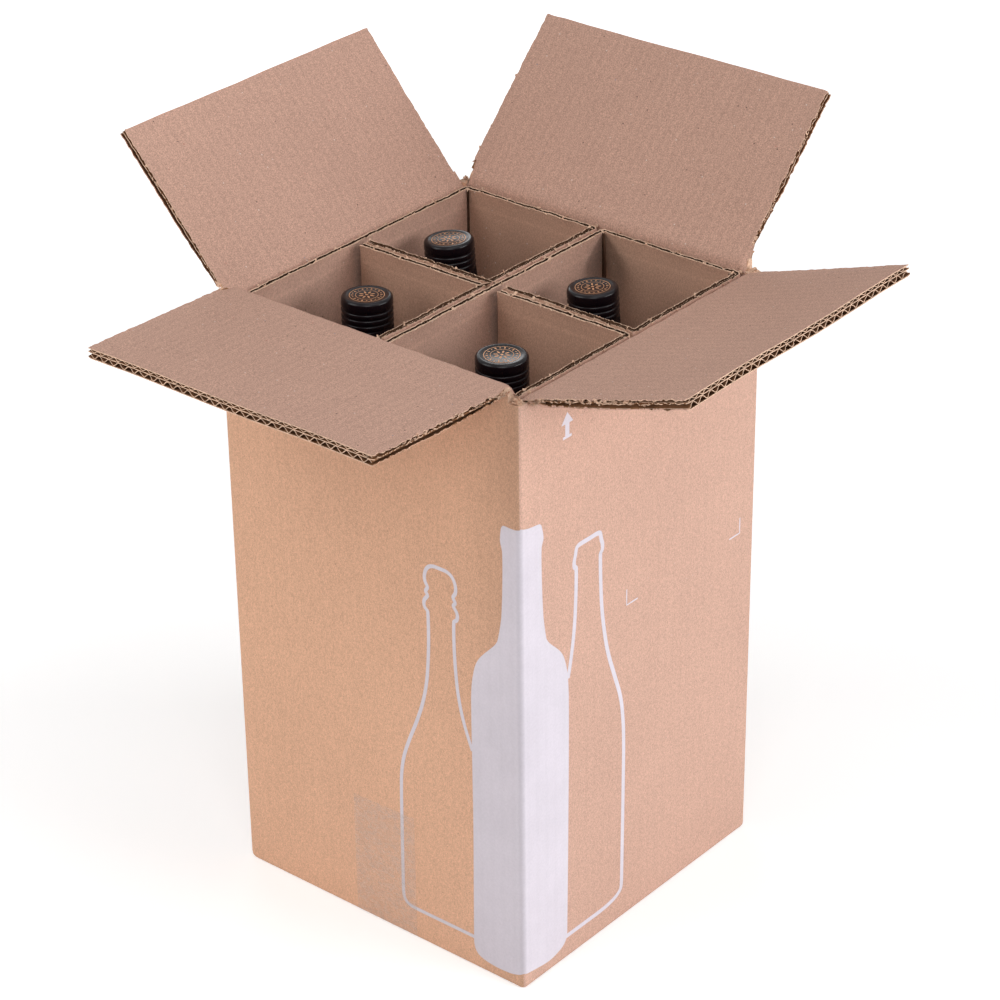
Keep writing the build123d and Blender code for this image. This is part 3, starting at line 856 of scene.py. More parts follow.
class BOX_OT_carton(bpy.types.Operator):
    """Walls and closed floor of the carton"""
    bl_idname = "box.carton"
    bl_label = "Carton"

    def execute(self, context):
        columns = wall_columns()
        bm = bmesh.new()
        count = len(columns)
        rng = random.Random(8)
        seats = [Vector((x * (WALL_X - rng.uniform(2, 5)), y * (WALL_Y - rng.uniform(2, 5)),
                         RIM_Z + rng.uniform(-0.3, 2.5)))
                 for x in (-1, 1) for y in (-1, 1) for _ in range(16 if x + y < 0 else 7)]
        scraps(bm, rng, seats, 1.7, WALL_CUT)

        def place(column, row):
            outer, inner, side = columns[column % count]
            span = inner - outer
            if row >= 5:
                inset, z = BOTTOM_EDGE[row - 5]
                return outer + span.normalized() * inset + UP * z
            if side is None:
                z = RIM_Z + (jitter((column, 3, 3), 1.7, 0.5) if 0 < row < 4 else 0)
                tops = (FLOOR_Z - 1, z, z, z, z)
            else:
                tops = (FLOOR_Z - 1, *(side.pivot.z - under for under in CREASE_TOP))
            share = (1.0, 1.0, *(step / BOARD for step in TOP_STEPS), 0.0)[row]
            return outer + span * share + UP * tops[row]

        grid_piece(bm, count + 1, 9, place)
        bmesh.ops.remove_doubles(bm, verts=bm.verts, dist=0.004)
        bmesh.ops.dissolve_degenerate(bm, edges=bm.edges, dist=0.002)
        for face in bm.faces:
            if face.material_index == WALL_CUT:
                continue
            centre = face.calc_center_median()
            inside = lies_inside(centre.x, centre.y)
            run = face.normal.y if abs(centre.y) < WALL_Y - BOARD else face.normal.x
            on_top = abs(face.normal.z) > 0.6 and centre.z > HALF_WAY
            # Steps at the ends of the creases are cut board too
            at_step = abs(run) > 0.7 and centre.z > RIM_Z - 2
            if on_top or at_step:
                face.material_index = WALL_CUT
            elif abs(face.normal.x) > abs(face.normal.y):
                face.material_index = INNER_X if inside else OUTER_X
            else:
                face.material_index = INNER_Y if inside else OUTER_Y
        wall = finish_piece("board_walls", bm,
                            ("outer_x", "outer_y", "inner_x", "inner_y", "cut_edge"),
                            "box", ("carton",), 40, outward=False)
        # Grid may run either way round
        self.face_outwards(wall)
        self.floor()
        return {"FINISHED"}

    def floor(self):
        """Two outer floor flaps, and two inner ones that cross them."""
        bm = bmesh.new()
        inset = BOTTOM_EDGE[-1][0]
        out_x, out_y = WALL_X - inset, WALL_Y - inset
        in_x, in_y = WALL_X - BOARD, WALL_Y - BOARD
        for low, high, index in (
            ((-out_x, FLOOR_SEAM, 0), (out_x, out_y, BOARD - 0.1), 0),
            ((-out_x, -out_y, 0), (out_x, -FLOOR_SEAM, BOARD - 0.1), 0),
            ((FLOOR_SEAM, -in_y, BOARD), (in_x, in_y, FLOOR_Z), 1),
            ((-in_x, -in_y, BOARD), (-FLOOR_SEAM, in_y, FLOOR_Z), 1),
        ):
            made = bmesh.ops.create_cube(bm, size=1.0)
            low, high = Vector(low), Vector(high)
            for vertex in made["verts"]:
                vertex.co = Vector((
                    low[axis] + (vertex.co[axis] + 0.5) * (high[axis] - low[axis])
                    for axis in range(3)
                ))
            edges = list(around(made, "link_edges"))
            for face in around(made, "link_faces"):
                face.material_index = index
            bmesh.ops.bevel(bm, geom=edges, offset=0.5, offset_type="OFFSET", segments=2,
                            profile=0.5, affect="EDGES", material=-1)
        finish_piece("board_floor", bm, ("outer_y", "inner_x"), "box")

    def face_outwards(self, piece):
        """Turns the faces round if they look into the board."""
        bm = bmesh.new()
        bm.from_mesh(piece.data)
        face = max(bm.faces, key=lambda f: f.calc_area())
        centre = face.calc_center_median()
        level = Vector((centre.x, centre.y, 0))
        if (face.normal.dot(level) > 0) == lies_inside(centre.x * MM, centre.y * MM):
            bmesh.ops.reverse_faces(bm, faces=bm.faces)
        bm.to_mesh(piece.data)
        bm.free()


# Order in which the flaps and creases are made, which sets their seeds
FLAPS = ("left", "front", "back", "right")


class BOX_OT_flaps(bpy.types.Operator):
    """Four top flaps with open flutes"""
    bl_idname = "box.flaps"
    bl_label = "Flaps"

    def execute(self, context):
        for index, name in enumerate(FLAPS):
            make_flap(Side(name), 11 + index * 7)
        return {"FINISHED"}


class BOX_OT_creases(bpy.types.Operator):
    """Liners that bend at the four creases"""
    bl_idname = "box.creases"
    bl_label = "Creases"

    def execute(self, context):
        for index, name in enumerate(FLAPS):
            make_crease(Side(name), 5 + index * 3)
        return {"FINISHED"}


# Rounding of a sleeve's folds, room behind its divider and half the gap in the divider
FOLD = 2.6
DIVIDER_END = 4.2
DIVIDER_GAP = 0.2


def sleeve_route(low_y, high_y):
    """Outside line of a folded strip as (point, offset direction into the board)."""
    half = SLEEVE_HIGH.x
    board = bpy.context.scene.box_board.sleeve_board
    end = high_y - board - DIVIDER_END
    corners = [(DIVIDER_GAP, end), (DIVIDER_GAP, low_y), (half, low_y), (half, high_y),
               (-half, high_y), (-half, low_y), (-DIVIDER_GAP, low_y), (-DIVIDER_GAP, end)]
    points = [Vector((*corners[0], 0))]
    for index in range(1, len(corners) - 1):
        before, at, after = (Vector((*corners[index + step], 0)) for step in (-1, 0, 1))
        points.append(at + (before - at).normalized() * FOLD)
        points.append(at + (after - at).normalized() * FOLD)
    points.append(Vector((*corners[-1], 0)))
    route = []
    for index, point in enumerate(points):
        normals = []
        for a, b in ((index - 1, index), (index, index + 1)):
            if 0 <= a and b < len(points):
                run = (points[b] - points[a]).normalized()
                normals.append(Vector((-run.y, run.x, 0)))
        total = sum(normals, Vector()).normalized()
        route.append((point, total / total.dot(normals[0])))
    return route


def along_route(route, step):
    """Route cut to short steps: (length so far, point, offset direction)."""
    cuts = []
    done = 0.0
    for (a, na), (b, nb) in zip(route, route[1:]):
        run = (b - a).length
        parts = max(1, round(run / step))
        for part in range(parts):
            t = part / parts
            cuts.append((done + run * t, a.lerp(b, t), na.lerp(nb, t)))
        done += run
    cuts.append((done, route[-1][0], route[-1][1]))
    return cuts


# Materials of a sleeve, by their place in its list
LINER, RIM, SHADE_CORE, LIT_LINER = range(4)
SLEEVE_PAPER = 0.65
SLEEVE_WAVE = 0.2
TEARS = 90
RIM_STEP = 0.8
# Place of the middle liner, as a share of the sleeve's board
MIDDLE_SHARE = 0.45
# Depth of each liner's edge under the rim, from the outer one to the inner one
RIM_DROP = (0.3, 0.8, 0.3)


def make_sleeve(name, low_y, high_y, seed):
    """Folded sleeve: three liners and two rows of waves that show in its rim."""
    board = bpy.context.scene.box_board
    rng = random.Random(seed)
    route = sleeve_route(low_y, high_y)
    cuts = along_route(route, RIM_STEP)
    total = cuts[-1][0]
    thick = board.sleeve_board
    middle_at = thick * MIDDLE_SHARE
    bm = bmesh.new()
    core_top = RIM_Z - board.rim_depth
    tears = [(rng.uniform(0, total), rng.uniform(0.8, 2.5), rng.uniform(-1.2, 0.8))
             for _ in range(TEARS)]

    def rim(length, layer):
        ragged = jitter((length, layer * 7, seed), 1.1, 0.45)
        ragged += jitter((length, layer, seed), 6, 0.4)
        for index, (middle, reach, rise) in enumerate(tears):
            if index % 3 == layer and abs(length - middle) < reach:
                ragged += rise * (1 - abs(length - middle) / reach)
        return RIM_Z - RIM_DROP[layer] + ragged * 0.8

    # Burrs where the blank was held in its sheet
    seats = [point + into * (0.3 if index % 2 else thick - 0.3) + UP * (RIM_Z - 0.1)
             for index, (_, point, into) in enumerate(cuts) if index % 27 < 2]
    scraps(bm, rng, seats, 1.3, RIM)
    # Outer and inner liner over the whole height, the middle one only in the rim
    for layer, depth, grow in ((0, 0.0, 1), (1, middle_at, 1), (2, thick, -1)):
        low_z = FLOOR_Z if layer != 1 else core_top - 5
        levels = (low_z, core_top - 4, core_top + 1, RIM_Z - 1.6, RIM_Z)

        def place(column, row):
            length, point, into = cuts[column]
            level = levels[row]
            lean = 0.0
            if row == 4:
                level = rim(length, layer)
            if row > 2:
                # Rims lean a little into the cells
                lean = 0.9 if layer < 2 else 0.4
                lean += jitter((length, 5, seed + layer), 2.2, 0.4)
                lean += jitter((length, 8, seed), 14, 0.5)
                lean *= (row - 2) / 2
            return point + into * (depth + lean) + UP * level

        faces = grid_piece(bm, len(cuts), 5, place, LINER)
        shown = set(bm.faces) - (set(faces) if layer == 1 else set())
        thicken(bm, faces, SLEEVE_PAPER, cuts[0][2] * grow)
        # Faces that look into the board are dark with painted shade
        bm.normal_update()
        for face in bm.faces:
            if face not in shown and abs(face.normal.z) < 0.6:
                face.material_index = SHADE_CORE
    # Waves, only as deep as one sees into them, dark with painted shade
    for low, high, pitch, layer in (
        (SLEEVE_PAPER, middle_at, board.sleeve_fine, 1),
        (middle_at + SLEEVE_PAPER, thick - SLEEVE_PAPER, board.sleeve_coarse, 2),
    ):
        fine_cuts = along_route(route, pitch / 7)

        def place(column, row):
            length, point, into = fine_cuts[column]
            phase = length / pitch * 2 * math.pi + jitter((length, 1, seed), 25, 1.2)
            depth = (low + high) / 2 + math.sin(phase) * (high - low - SLEEVE_WAVE) / 2
            level = core_top - 0.5 if row == 0 else rim(length, layer) - 1.7
            return point + into * (depth + 0.4 * row) + UP * level

        faces = grid_piece(bm, len(fine_cuts), 2, place, SHADE_CORE)
        thicken(bm, faces, SLEEVE_WAVE, fine_cuts[0][2])
    # Scored corners of the folds are open, with dark blocks in them as painted shade
    for hand in (-1, 1):
        made = bmesh.ops.create_cube(bm, size=1.0)
        seat = Vector((hand * (SLEEVE_HIGH.x - thick - 0.4), high_y - thick - 0.4, 0))
        for vertex in made["verts"]:
            level = FLOOR_Z if vertex.co.z < 0 else RIM_Z - 1.5
            vertex.co = seat + Vector((vertex.co.x * 1.3, vertex.co.y * 1.3, level))
        for face in around(made, "link_faces"):
            face.material_index = SHADE_CORE

    # Core that closes the waves below, a dark sheet of painted shade
    def core(column, row):
        length, point, into = cuts[column]
        depth, level = ((0.3, FLOOR_Z), (0.3, core_top), (thick - 0.3, core_top),
                        (thick - 0.3, FLOOR_Z))[row % 4]
        return point + into * depth + UP * level

    grid_piece(bm, len(cuts), 5, core, SHADE_CORE)
    bmesh.ops.recalc_face_normals(bm, faces=bm.faces)
    for face in bm.faces:
        if face.material_index != LINER:
            continue
        if abs(face.normal.z) > 0.6 and face.calc_center_median().z > HALF_WAY:
            face.material_index = RIM
        # Faces that look to the front or back take the copy with painted light
        elif abs(face.normal.y) > 0.7:
            face.material_index = LIT_LINER
    close_up(bm, 0.0005)
    finish_piece("board_" + name, bm, ("cell_liner", "cut_edge", "dark_core", "cell_liner_y"),
                 "box", (name,), 40)


class BOX_OT_sleeves(bpy.types.Operator):
    """Two folded cell sleeves"""
    bl_idname = "box.sleeves"
    bl_label = "Sleeves"

    def execute(self, context):
        for name, seed in (("insert_back", 21), ("insert_front", 34)):
            low, high = box_mm(name)
            make_sleeve(name, low.y, high.y, seed)
        return {"FINISHED"}


def turned_profile(bm, profile, steps):
    """Closed body turned from a profile of (radius, height)."""
    points = [bm.verts.new((radius, 0, height)) for radius, height in profile]
    edges = [bm.edges.new(pair) for pair in zip(points, points[1:])]
    bmesh.ops.spin(bm, geom=points + edges, cent=(0, 0, 0), axis=(0, 0, 1), dvec=(0, 0, 0),
                   angle=2 * math.pi, steps=steps, use_merge=True)
    bmesh.ops.remove_doubles(bm, verts=bm.verts, dist=0.0005)


# Middle of each bottle's foot and of its cap, seen from above
BOTTLES = {
    1: ((50.0, 45.0), (46.0, 70.0)),
    2: ((-48.0, 50.0), (-40.5, 57.0)),
    3: ((50.0, -55.5), (46.0, -37.0)),
    4: ((-50.5, -52.0), (-51.5, -51.0)),
}
BOTTLE_H = 355.0
NECK_TOP = 352.5
NECK_R = 14.4
BODY_R = 38.3
SHOULDER = (200, 88)  # where it starts, and its height
HEEL = 4.0  # rounding of the foot


def bottle_matrix(number):
    """Turns an upright bottle into its leaning place."""
    base, top = BOTTLES[number]
    lean = Vector((top[0] - base[0], top[1] - base[1], BOTTLE_H))
    angle = lean.angle(UP)
    # The foot's edge stays just over the floor when the bottle leans
    rise = (BODY_R - HEEL) * math.sin(angle) + HEEL * (1 - math.cos(angle)) + 0.05
    turn = UP.rotation_difference(lean.normalized()).to_matrix().to_4x4()
    return Matrix.Translation((base[0], base[1], FLOOR_Z + rise)) @ turn


class BOX_OT_bottles(bpy.types.Operator):
    """Four dark bottles, full and closed"""
    bl_idname = "box.bottles"
    bl_label = "Bottles"

    def execute(self, context):
        profile = [(0, 0.4), (30, 0.4), (32, 0)]
        for step in range(7):
            turn = step / 6 * math.pi / 2
            profile.append((BODY_R - HEEL + HEEL * math.sin(turn), HEEL - HEEL * math.cos(turn)))
        for step in range(13):
            t = step / 12
            width = (0.5 + 0.5 * math.cos(math.pi * t)) * (1 - 0.12 * t)
            profile.append((NECK_R + (BODY_R - NECK_R) * width, SHOULDER[0] + SHOULDER[1] * t))
        profile += [(NECK_R, NECK_TOP), (0, NECK_TOP)]
        for number in BOTTLES:
            bm = bmesh.new()
            turned_profile(bm, profile, 64)
            bmesh.ops.transform(bm, matrix=bottle_matrix(number), verts=bm.verts)
            finish_piece(f"glass_bottle_{number}", bm, ("bottle_glass",), "box",
                         (f"bottle_{number}",), 30)
        return {"FINISHED"}


# Cap as (inset from its radius, depth under its crown): groove, ribbed band, crown's foot
GROOVE = ((0.0, 29.5), (0.3, 29.0), (0.3, 28.0), (0.0, 27.5))
BAND = ((0.0, 24.5), (0.15, 23.9), (0.15, 18.2), (0.5, 17.7))
CROWN_FOOT = ((0.9, 6.6), (0.35, 6.1), (0.1, 5.4), (0.12, 3.6))
RIBBED = (24.0, 18.0)  # depths between which the ribs run
RIB_DEPTH = 0.32
RING_FOOT = 17.4
RING_PITCH = 3.55
PRINT_DEPTH = 0.26  # of the crown's print under the cap's top


class BOX_OT_caps(bpy.types.Operator):
    """Four long screw caps with rolled rings and a ribbed band"""
    bl_idname = "box.caps"
    bl_label = "Caps"

    def execute(self, context):
        sizes = context.scene.box_caps
        r, h = sizes.radius, BOTTLE_H
        foot = h - sizes.height
        profile = [(0, h - 2), (r - 0.5, h - 2), (r - 0.5, foot), (r, foot)]
        profile += [(r - inset, h - depth) for inset, depth in GROOVE + BAND]
        # Three rolled rings
        for ring in range(3):
            foot = h - RING_FOOT + ring * RING_PITCH
            for angle in range(9):
                turn = angle / 8 * math.pi
                out = r - 0.95 + 0.9 * math.sin(turn) ** 0.7
                profile.append((out, foot + 0.2 + (1 - math.cos(turn)) / 2 * (RING_PITCH - 0.4)))
        profile += [(r - inset, h - depth) for inset, depth in CROWN_FOOT]
        # Rounded edge and the slightly sunk crown
        for angle in range(9):
            turn = angle / 8 * math.pi / 2
            profile.append((r - 2.3 + 2.1 * math.cos(turn), h - 2.0 + 2.0 * math.sin(turn)))
        profile += [(r - 3.4, h - 0.1), (r - 4.0, h - 0.3), (0, h - 0.3)]
        for number in BOTTLES:
            bm = bmesh.new()
            turned_profile(bm, profile, sizes.ribs * 2)
            for vertex in bm.verts:
                if RIBBED[1] < h - vertex.co.z < RIBBED[0]:
                    angle = math.atan2(vertex.co.y, vertex.co.x) / (2 * math.pi) * sizes.ribs * 2
                    if round(angle) % 2:
                        flat = Vector((vertex.co.x, vertex.co.y, 0))
                        vertex.co -= flat.normalized() * RIB_DEPTH
            matrix = bottle_matrix(number)
            bmesh.ops.transform(bm, matrix=matrix, verts=bm.verts)
            finish_piece(f"screw_cap_{number}", bm, ("black_cap",), "box",
                         (f"cap_{number}",), 50)
            # Each cap was screwed on to another angle
            turned = matrix @ Matrix.Rotation(number * 1.3, 4, "Z")
            self.crown_print(number, turned, h - PRINT_DEPTH)
        return {"FINISHED"}

    def crown_print(self, number, matrix, level):
        """Plain rings, dots and a rosette printed on the crown."""
        bm = bmesh.new()

        def ring(radius, width):
            made = bmesh.ops.create_circle(bm, cap_ends=False, radius=radius, segments=48)
            grown = bmesh.ops.extrude_edge_only(bm, edges=list(around(made, "link_edges")))
            fresh = [item for item in grown["geom"] if isinstance(item, bmesh.types.BMVert)]
            factor = (radius - width) / radius
            bmesh.ops.scale(bm, vec=(factor, factor, 1), verts=fresh)

        def dot(radius, angle, size, stretch=1.0):
            place = (Matrix.Rotation(angle, 4, "Z") @ Matrix.Translation((radius, 0, 0))
                     @ Matrix.Diagonal((stretch, 1, 1, 1)))
            bmesh.ops.create_circle(bm, cap_ends=True, radius=size, segments=8, matrix=place)

        ring(10.2, 0.42)
        ring(6.6, 0.34)
        for index in range(20):
            dot(8.35, index / 20 * 2 * math.pi, 0.5, 1.7 if index % 2 else 0.9)
        for index in range(8):
            dot(3.4, index / 8 * 2 * math.pi, 0.62, 2.4)
        dot(0, 0, 0.9)
        bmesh.ops.translate(bm, vec=(0, 0, level), verts=bm.verts)
        bmesh.ops.transform(bm, matrix=matrix, verts=bm.verts)
        finish_piece(f"crown_print_{number}", bm, ("copper_ink",), "box", (), 0)


# Print


def smooth_line(points, per_span=5):
    """Curve through the points, straight where a span is long."""
    result = []
    for index, (p1, p2) in enumerate(zip(points, points[1:])):
        p0 = points[max(0, index - 1)]
        p3 = points[min(len(points) - 1, index + 2)]
        span = math.dist(p1, p2)
        # Far neighbours pull no harder than near ones
        p0 = Vector(p1) + (Vector(p0) - Vector(p1)).normalized() * min(span, math.dist(p0, p1))
        p3 = Vector(p2) + (Vector(p3) - Vector(p2)).normalized() * min(span, math.dist(p2, p3))
        for step in range(per_span):
            t = step / per_span
            result.append(tuple(
                0.5 * ((2 * b) + (c - a) * t + (2 * a - 5 * b + 4 * c - d) * t * t
                       + (3 * b - a - 3 * c + d) * t ** 3)
                for a, b, c, d in zip(p0, p1, p2, p3)
            ))
    result.append(points[-1])
    return result


# Half outlines of the printed bottles, as (distance from the middle, height). The filled one
# is wider on the front wall than on the left one.
SOLID_LEFT = [
    (0, 303.6), (6, 303.2), (11.5, 303.3), (12.9, 301.5), (13.8, 293.5), (12.4, 287), (12.4, 270),
    (13.6, 245), (16.4, 230), (18.6, 226), (26.6, 217.3), (30.4, 212.5), (33, 207), (35.2, 197),
    (36.2, 185), (36.2, 100), (37.2, 18), (36, 13), (33.5, 10), (28.5, 8.2), (19.5, 7.2),
    (8.4, 8), (0, 10.8),
]
SOLID_RIGHT = [
    (0, 304.4), (7.5, 302.3), (16.5, 301), (18.2, 299.3), (19.9, 291), (18.2, 285.8), (18.2, 268),
    (19.4, 243), (22, 227), (24.5, 223), (32.6, 214.8), (35.9, 210.5), (38.3, 205), (40.6, 195),
    (41.6, 180), (41.4, 120), (40, 20), (39.2, 15), (37.2, 12), (33.8, 10), (27, 8.1), (21, 7.8),
    (12.7, 8.8), (0, 10.8),
]
CORKED = [
    (0, 260.5), (4.6, 260.4), (8, 259), (10.3, 256), (11.3, 252), (10.9, 248.6), (9.3, 245.6),
    (10.7, 242.6), (9.4, 240.2), (11.7, 236.8), (12.2, 234.3), (11.5, 231.8), (9.5, 230),
    (9.5, 208), (11.1, 187), (13, 176), (15.9, 165), (20.2, 153), (26.3, 138), (30.4, 126),
    (32.6, 114), (33.3, 100), (34.1, 31), (33.6, 26.4), (32, 23.5), (29.4, 22), (25.5, 21.4),
    (0, 21.4),
]
BURGUNDY = [
    (0, 273.3), (8.2, 273.3), (10.4, 272.2), (11.5, 268), (12.6, 264.5), (12.4, 261.2),
    (10.8, 259.4), (11.2, 240), (12.3, 224), (14.6, 208), (18.1, 192), (23.5, 176), (29.1, 160),
    (31.4, 150), (33, 135), (33.5, 118), (32.6, 27), (31.6, 21.5), (27, 18.4), (20, 16.8),
    (12, 16.2), (0, 16.2),
]
# Middles of the two outlined bottles along their walls, and the widths of their lines
CORKED_Y = -52.55
BURGUNDY_X = -49.75
LEFT_STROKE = 2.4
FRONT_STROKE = 3.0
INK_LIFT = 0.05
# Tip of the arrow, its rings from there, and the corner marks as (across, height, hand)
ARROW_TIP = (-68.25, 358.8)
ARROW = (
    [(0, 0), (5.1, -6.8), (-5.1, -6.8)],
    [(-1.8, -6.8), (1.8, -6.8), (1.8, -14), (-1.8, -14)],
    [(-3.7, -14), (3.7, -14), (3.7, -15.6), (-3.7, -15.6)],
)
MARKS = ((-14.7, 215.1, 1), (93.6, 214.5, -1))
MARK_REACH = 10.2
MARK_STROKE = 0.9


def stroke(bm, line, width, place):
    """Ribbon of even width along a line, put on the wall by place(across, height)."""
    count = len(line)

    def at(column, row):
        a = Vector(line[max(0, column - 1)])
        b = Vector(line[min(count - 1, column + 1)])
        run = (b - a).normalized()
        shift = Vector((-run.y, run.x)) * (row - 0.5) * width
        return place(line[column][0] + shift.x, line[column][1] + shift.y)

    grid_piece(bm, count, 2, at)


def solid_reach(line, height):
    """Half width of the filled bottle at a height, from its smooth half outline."""
    return max(
        (max(r0, r1) for (r0, z0), (r1, z1) in zip(line, line[1:]) if z1 <= height <= z0),
        default=0.0,
    )


class BOX_OT_print(bpy.types.Operator):
    """Pale print on the two walls"""
    bl_idname = "box.print"
    bl_label = "Print"

    def execute(self, context):
        self.filled()
        self.outline("ink_corked_outline", CORKED, CORKED_Y, SOLID_LEFT, WALL_Y, LEFT_STROKE,
                     self.on_left, "print_corked_outline")
        self.outline("ink_burgundy_outline", BURGUNDY, BURGUNDY_X, SOLID_RIGHT, WALL_X,
                     FRONT_STROKE, self.on_front, "print_burgundy_outline")
        self.signs()
        return {"FINISHED"}

    @staticmethod
    def on_left(across, height):
        return Vector((-WALL_X - INK_LIFT, across, height))

    @staticmethod
    def on_front(across, height):
        return Vector((across, -WALL_Y - INK_LIFT, height))

    def filled(self):
        """Bottle that wraps round the front corner."""
        radius = CORNER_R
        turn = radius * math.pi / 4

        def unrolled(reach):
            return reach * turn / radius if reach < radius else reach - radius + turn

        bm = bmesh.new()
        left = [(-unrolled(r), z) for r, z in reversed(smooth_line(SOLID_LEFT))]
        right = [(unrolled(r), z) for r, z in smooth_line(SOLID_RIGHT)]
        ring = [bm.verts.new((u, z, 0)) for u, z in left[1:] + right[1:]]
        bm.faces.new(ring)
        for step in range(-5, 6):
            bmesh.ops.bisect_plane(bm, geom=bm.verts[:] + bm.edges[:] + bm.faces[:], dist=0.0001,
                                   plane_co=(turn * step / 5, 0, 0), plane_no=(1, 0, 0))
        bmesh.ops.triangulate(bm, faces=bm.faces[:])
        centre = Vector((-WALL_X + radius, -WALL_Y + radius, 0))
        for vertex in bm.verts:
            u, z = vertex.co.x, vertex.co.y
            flat = abs(u) - turn + radius
            if abs(u) <= turn:
                angle = math.pi / 4 + u / radius
                out = Vector((-math.cos(angle), -math.sin(angle), 0))
                vertex.co = centre + out * radius + UP * z
            elif u < 0:
                out = Vector((-1, 0, 0))
                vertex.co = Vector((-WALL_X, -WALL_Y + flat, z))
            else:
                out = Vector((0, -1, 0))
                vertex.co = Vector((-WALL_X + flat, -WALL_Y, z))
            vertex.co += out * 2 * INK_LIFT
        self.lay("ink_bottle", bm, "print_bottle", 30)

    def outline(self, name, half, middle, solid, corner, width, place, node):
        """One line from behind the filled bottle over the mouth and back along the base."""
        line = smooth_line([(-r, z) for r, z in reversed(half)] + half[1:])
        line = [(middle + r, z) for r, z in line]
        solid = smooth_line(solid)
        base_z = half[-1][1]
        gaps = [across + corner - solid_reach(solid, z) for across, z in line]
        first = next(index for index, gap in enumerate(gaps)
                     if gap > -0.4 and line[index][1] > base_z + 5)
        line = line[first:]
        line.append((solid_reach(solid, base_z) - corner - 0.3, base_z))
        bm = bmesh.new()
        stroke(bm, line, width, place)
        self.lay(name, bm, node)

    def signs(self):
        """Arrow over a base line, and the corner marks of the label field."""
        x, z = ARROW_TIP
        bm = bmesh.new()
        for ring in ARROW:
            bm.faces.new([bm.verts.new(self.on_front(x + dx, z + dz)) for dx, dz in ring])
        self.lay("ink_arrow", bm, "print_arrow")
        bm = bmesh.new()
        for x, z, hand in MARKS:
            line = [(x, z + MARK_REACH), (x, z + 5), (x, z), (x + hand * 5, z),
                    (x + hand * MARK_REACH, z)]
            stroke(bm, line, MARK_STROKE, self.on_front)
        self.lay("ink_corner_marks", bm, "print_corner_marks")

    @staticmethod
    def lay(name, bm, node, smooth=0):
        """Turns a film to look away from the box and makes its piece."""
        bm.normal_update()
        wrong = [f for f in bm.faces if f.normal.dot(f.calc_center_median().xy.to_3d()) < 0]
        bmesh.ops.reverse_faces(bm, faces=wrong)
        finish_piece(name, bm, ("pale_ink",), "box", (node,), smooth,
                     outward=False)


# Rounding of the tape at the box's lower edges as (in from the edge, height), and its lift
TAPE_BEND = ((0.0, 2.5), (0.6, 0.8))
TAPE_FLAT = 2.6
TAPE_LIFT = 0.02
TAPE_COLUMNS = 24


class BOX_OT_tape(bpy.types.Operator):
    """Clear tape over the floor seam"""
    bl_idname = "box.tape"
    bl_label = "Tape"

    def execute(self, context):
        low, high = box_mm("bottom_tape")
        bm = bmesh.new()
        path = [(low.x, high.z), (low.x, 55), (low.x, 25)]
        path += [(low.x + inset, z) for inset, z in TAPE_BEND]
        path += [(x, TAPE_LIFT) for x in (low.x + TAPE_FLAT, 0, high.x - TAPE_FLAT)]
        path += [(high.x - inset, z) for inset, z in reversed(TAPE_BEND)]
        path += [(high.x, 40), (high.x, high.z)]

        def place(column, row):
            x, z = path[row]
            y = low.y + (high.y - low.y) * column / TAPE_COLUMNS
            # Torn off a little askew at both ends
            if row in (0, len(path) - 1):
                z += jitter((y, 4, row), 1.2, 0.8) - (y - low.y) * 0.03
            return Vector((x, y, z))

        grid_piece(bm, TAPE_COLUMNS + 1, len(path), place)
        finish_piece("tape_strip", bm, ("clear_tape",), "box", ("bottom_tape",), 40,
                     outward=False)
        return {"FINISHED"}


FLOOR_REACH = 6.0
# The floor's own light: distances from the box in metres, and its strength at each
FLOOR_GLOW = (0.35, 3.0, 0.43, 1.0)
WORLD_LIGHT = 0.09
# Lamps as (name, place, width, power, colour), and the height that they are aimed at
LAMPS = (
    ("key", (0.9, -2.2, 0.85), 1.6, 46.0, (0.97, 0.985, 1.0)),
    ("side", (-1.05, 0.5, 0.42), 0.9, 4.6, (1.0, 0.985, 0.96)),
    ("fill", (-1.5, -1.3, 1.9), 1.2, 14.0, (1.0, 1.0, 1.0)),
    ("rear", (-1.4, 0.9, 1.6), 1.2, 13.0, (1.0, 1.0, 1.0)),
    ("top", (0.15, -0.7, 2.7), 1.8, 15.0, (0.95, 0.975, 1.0)),
    ("back", (1.5, 1.9, 0.75), 1.4, 14.0, (0.97, 0.985, 1.0)),
)
LAMP_AIM = 0.25


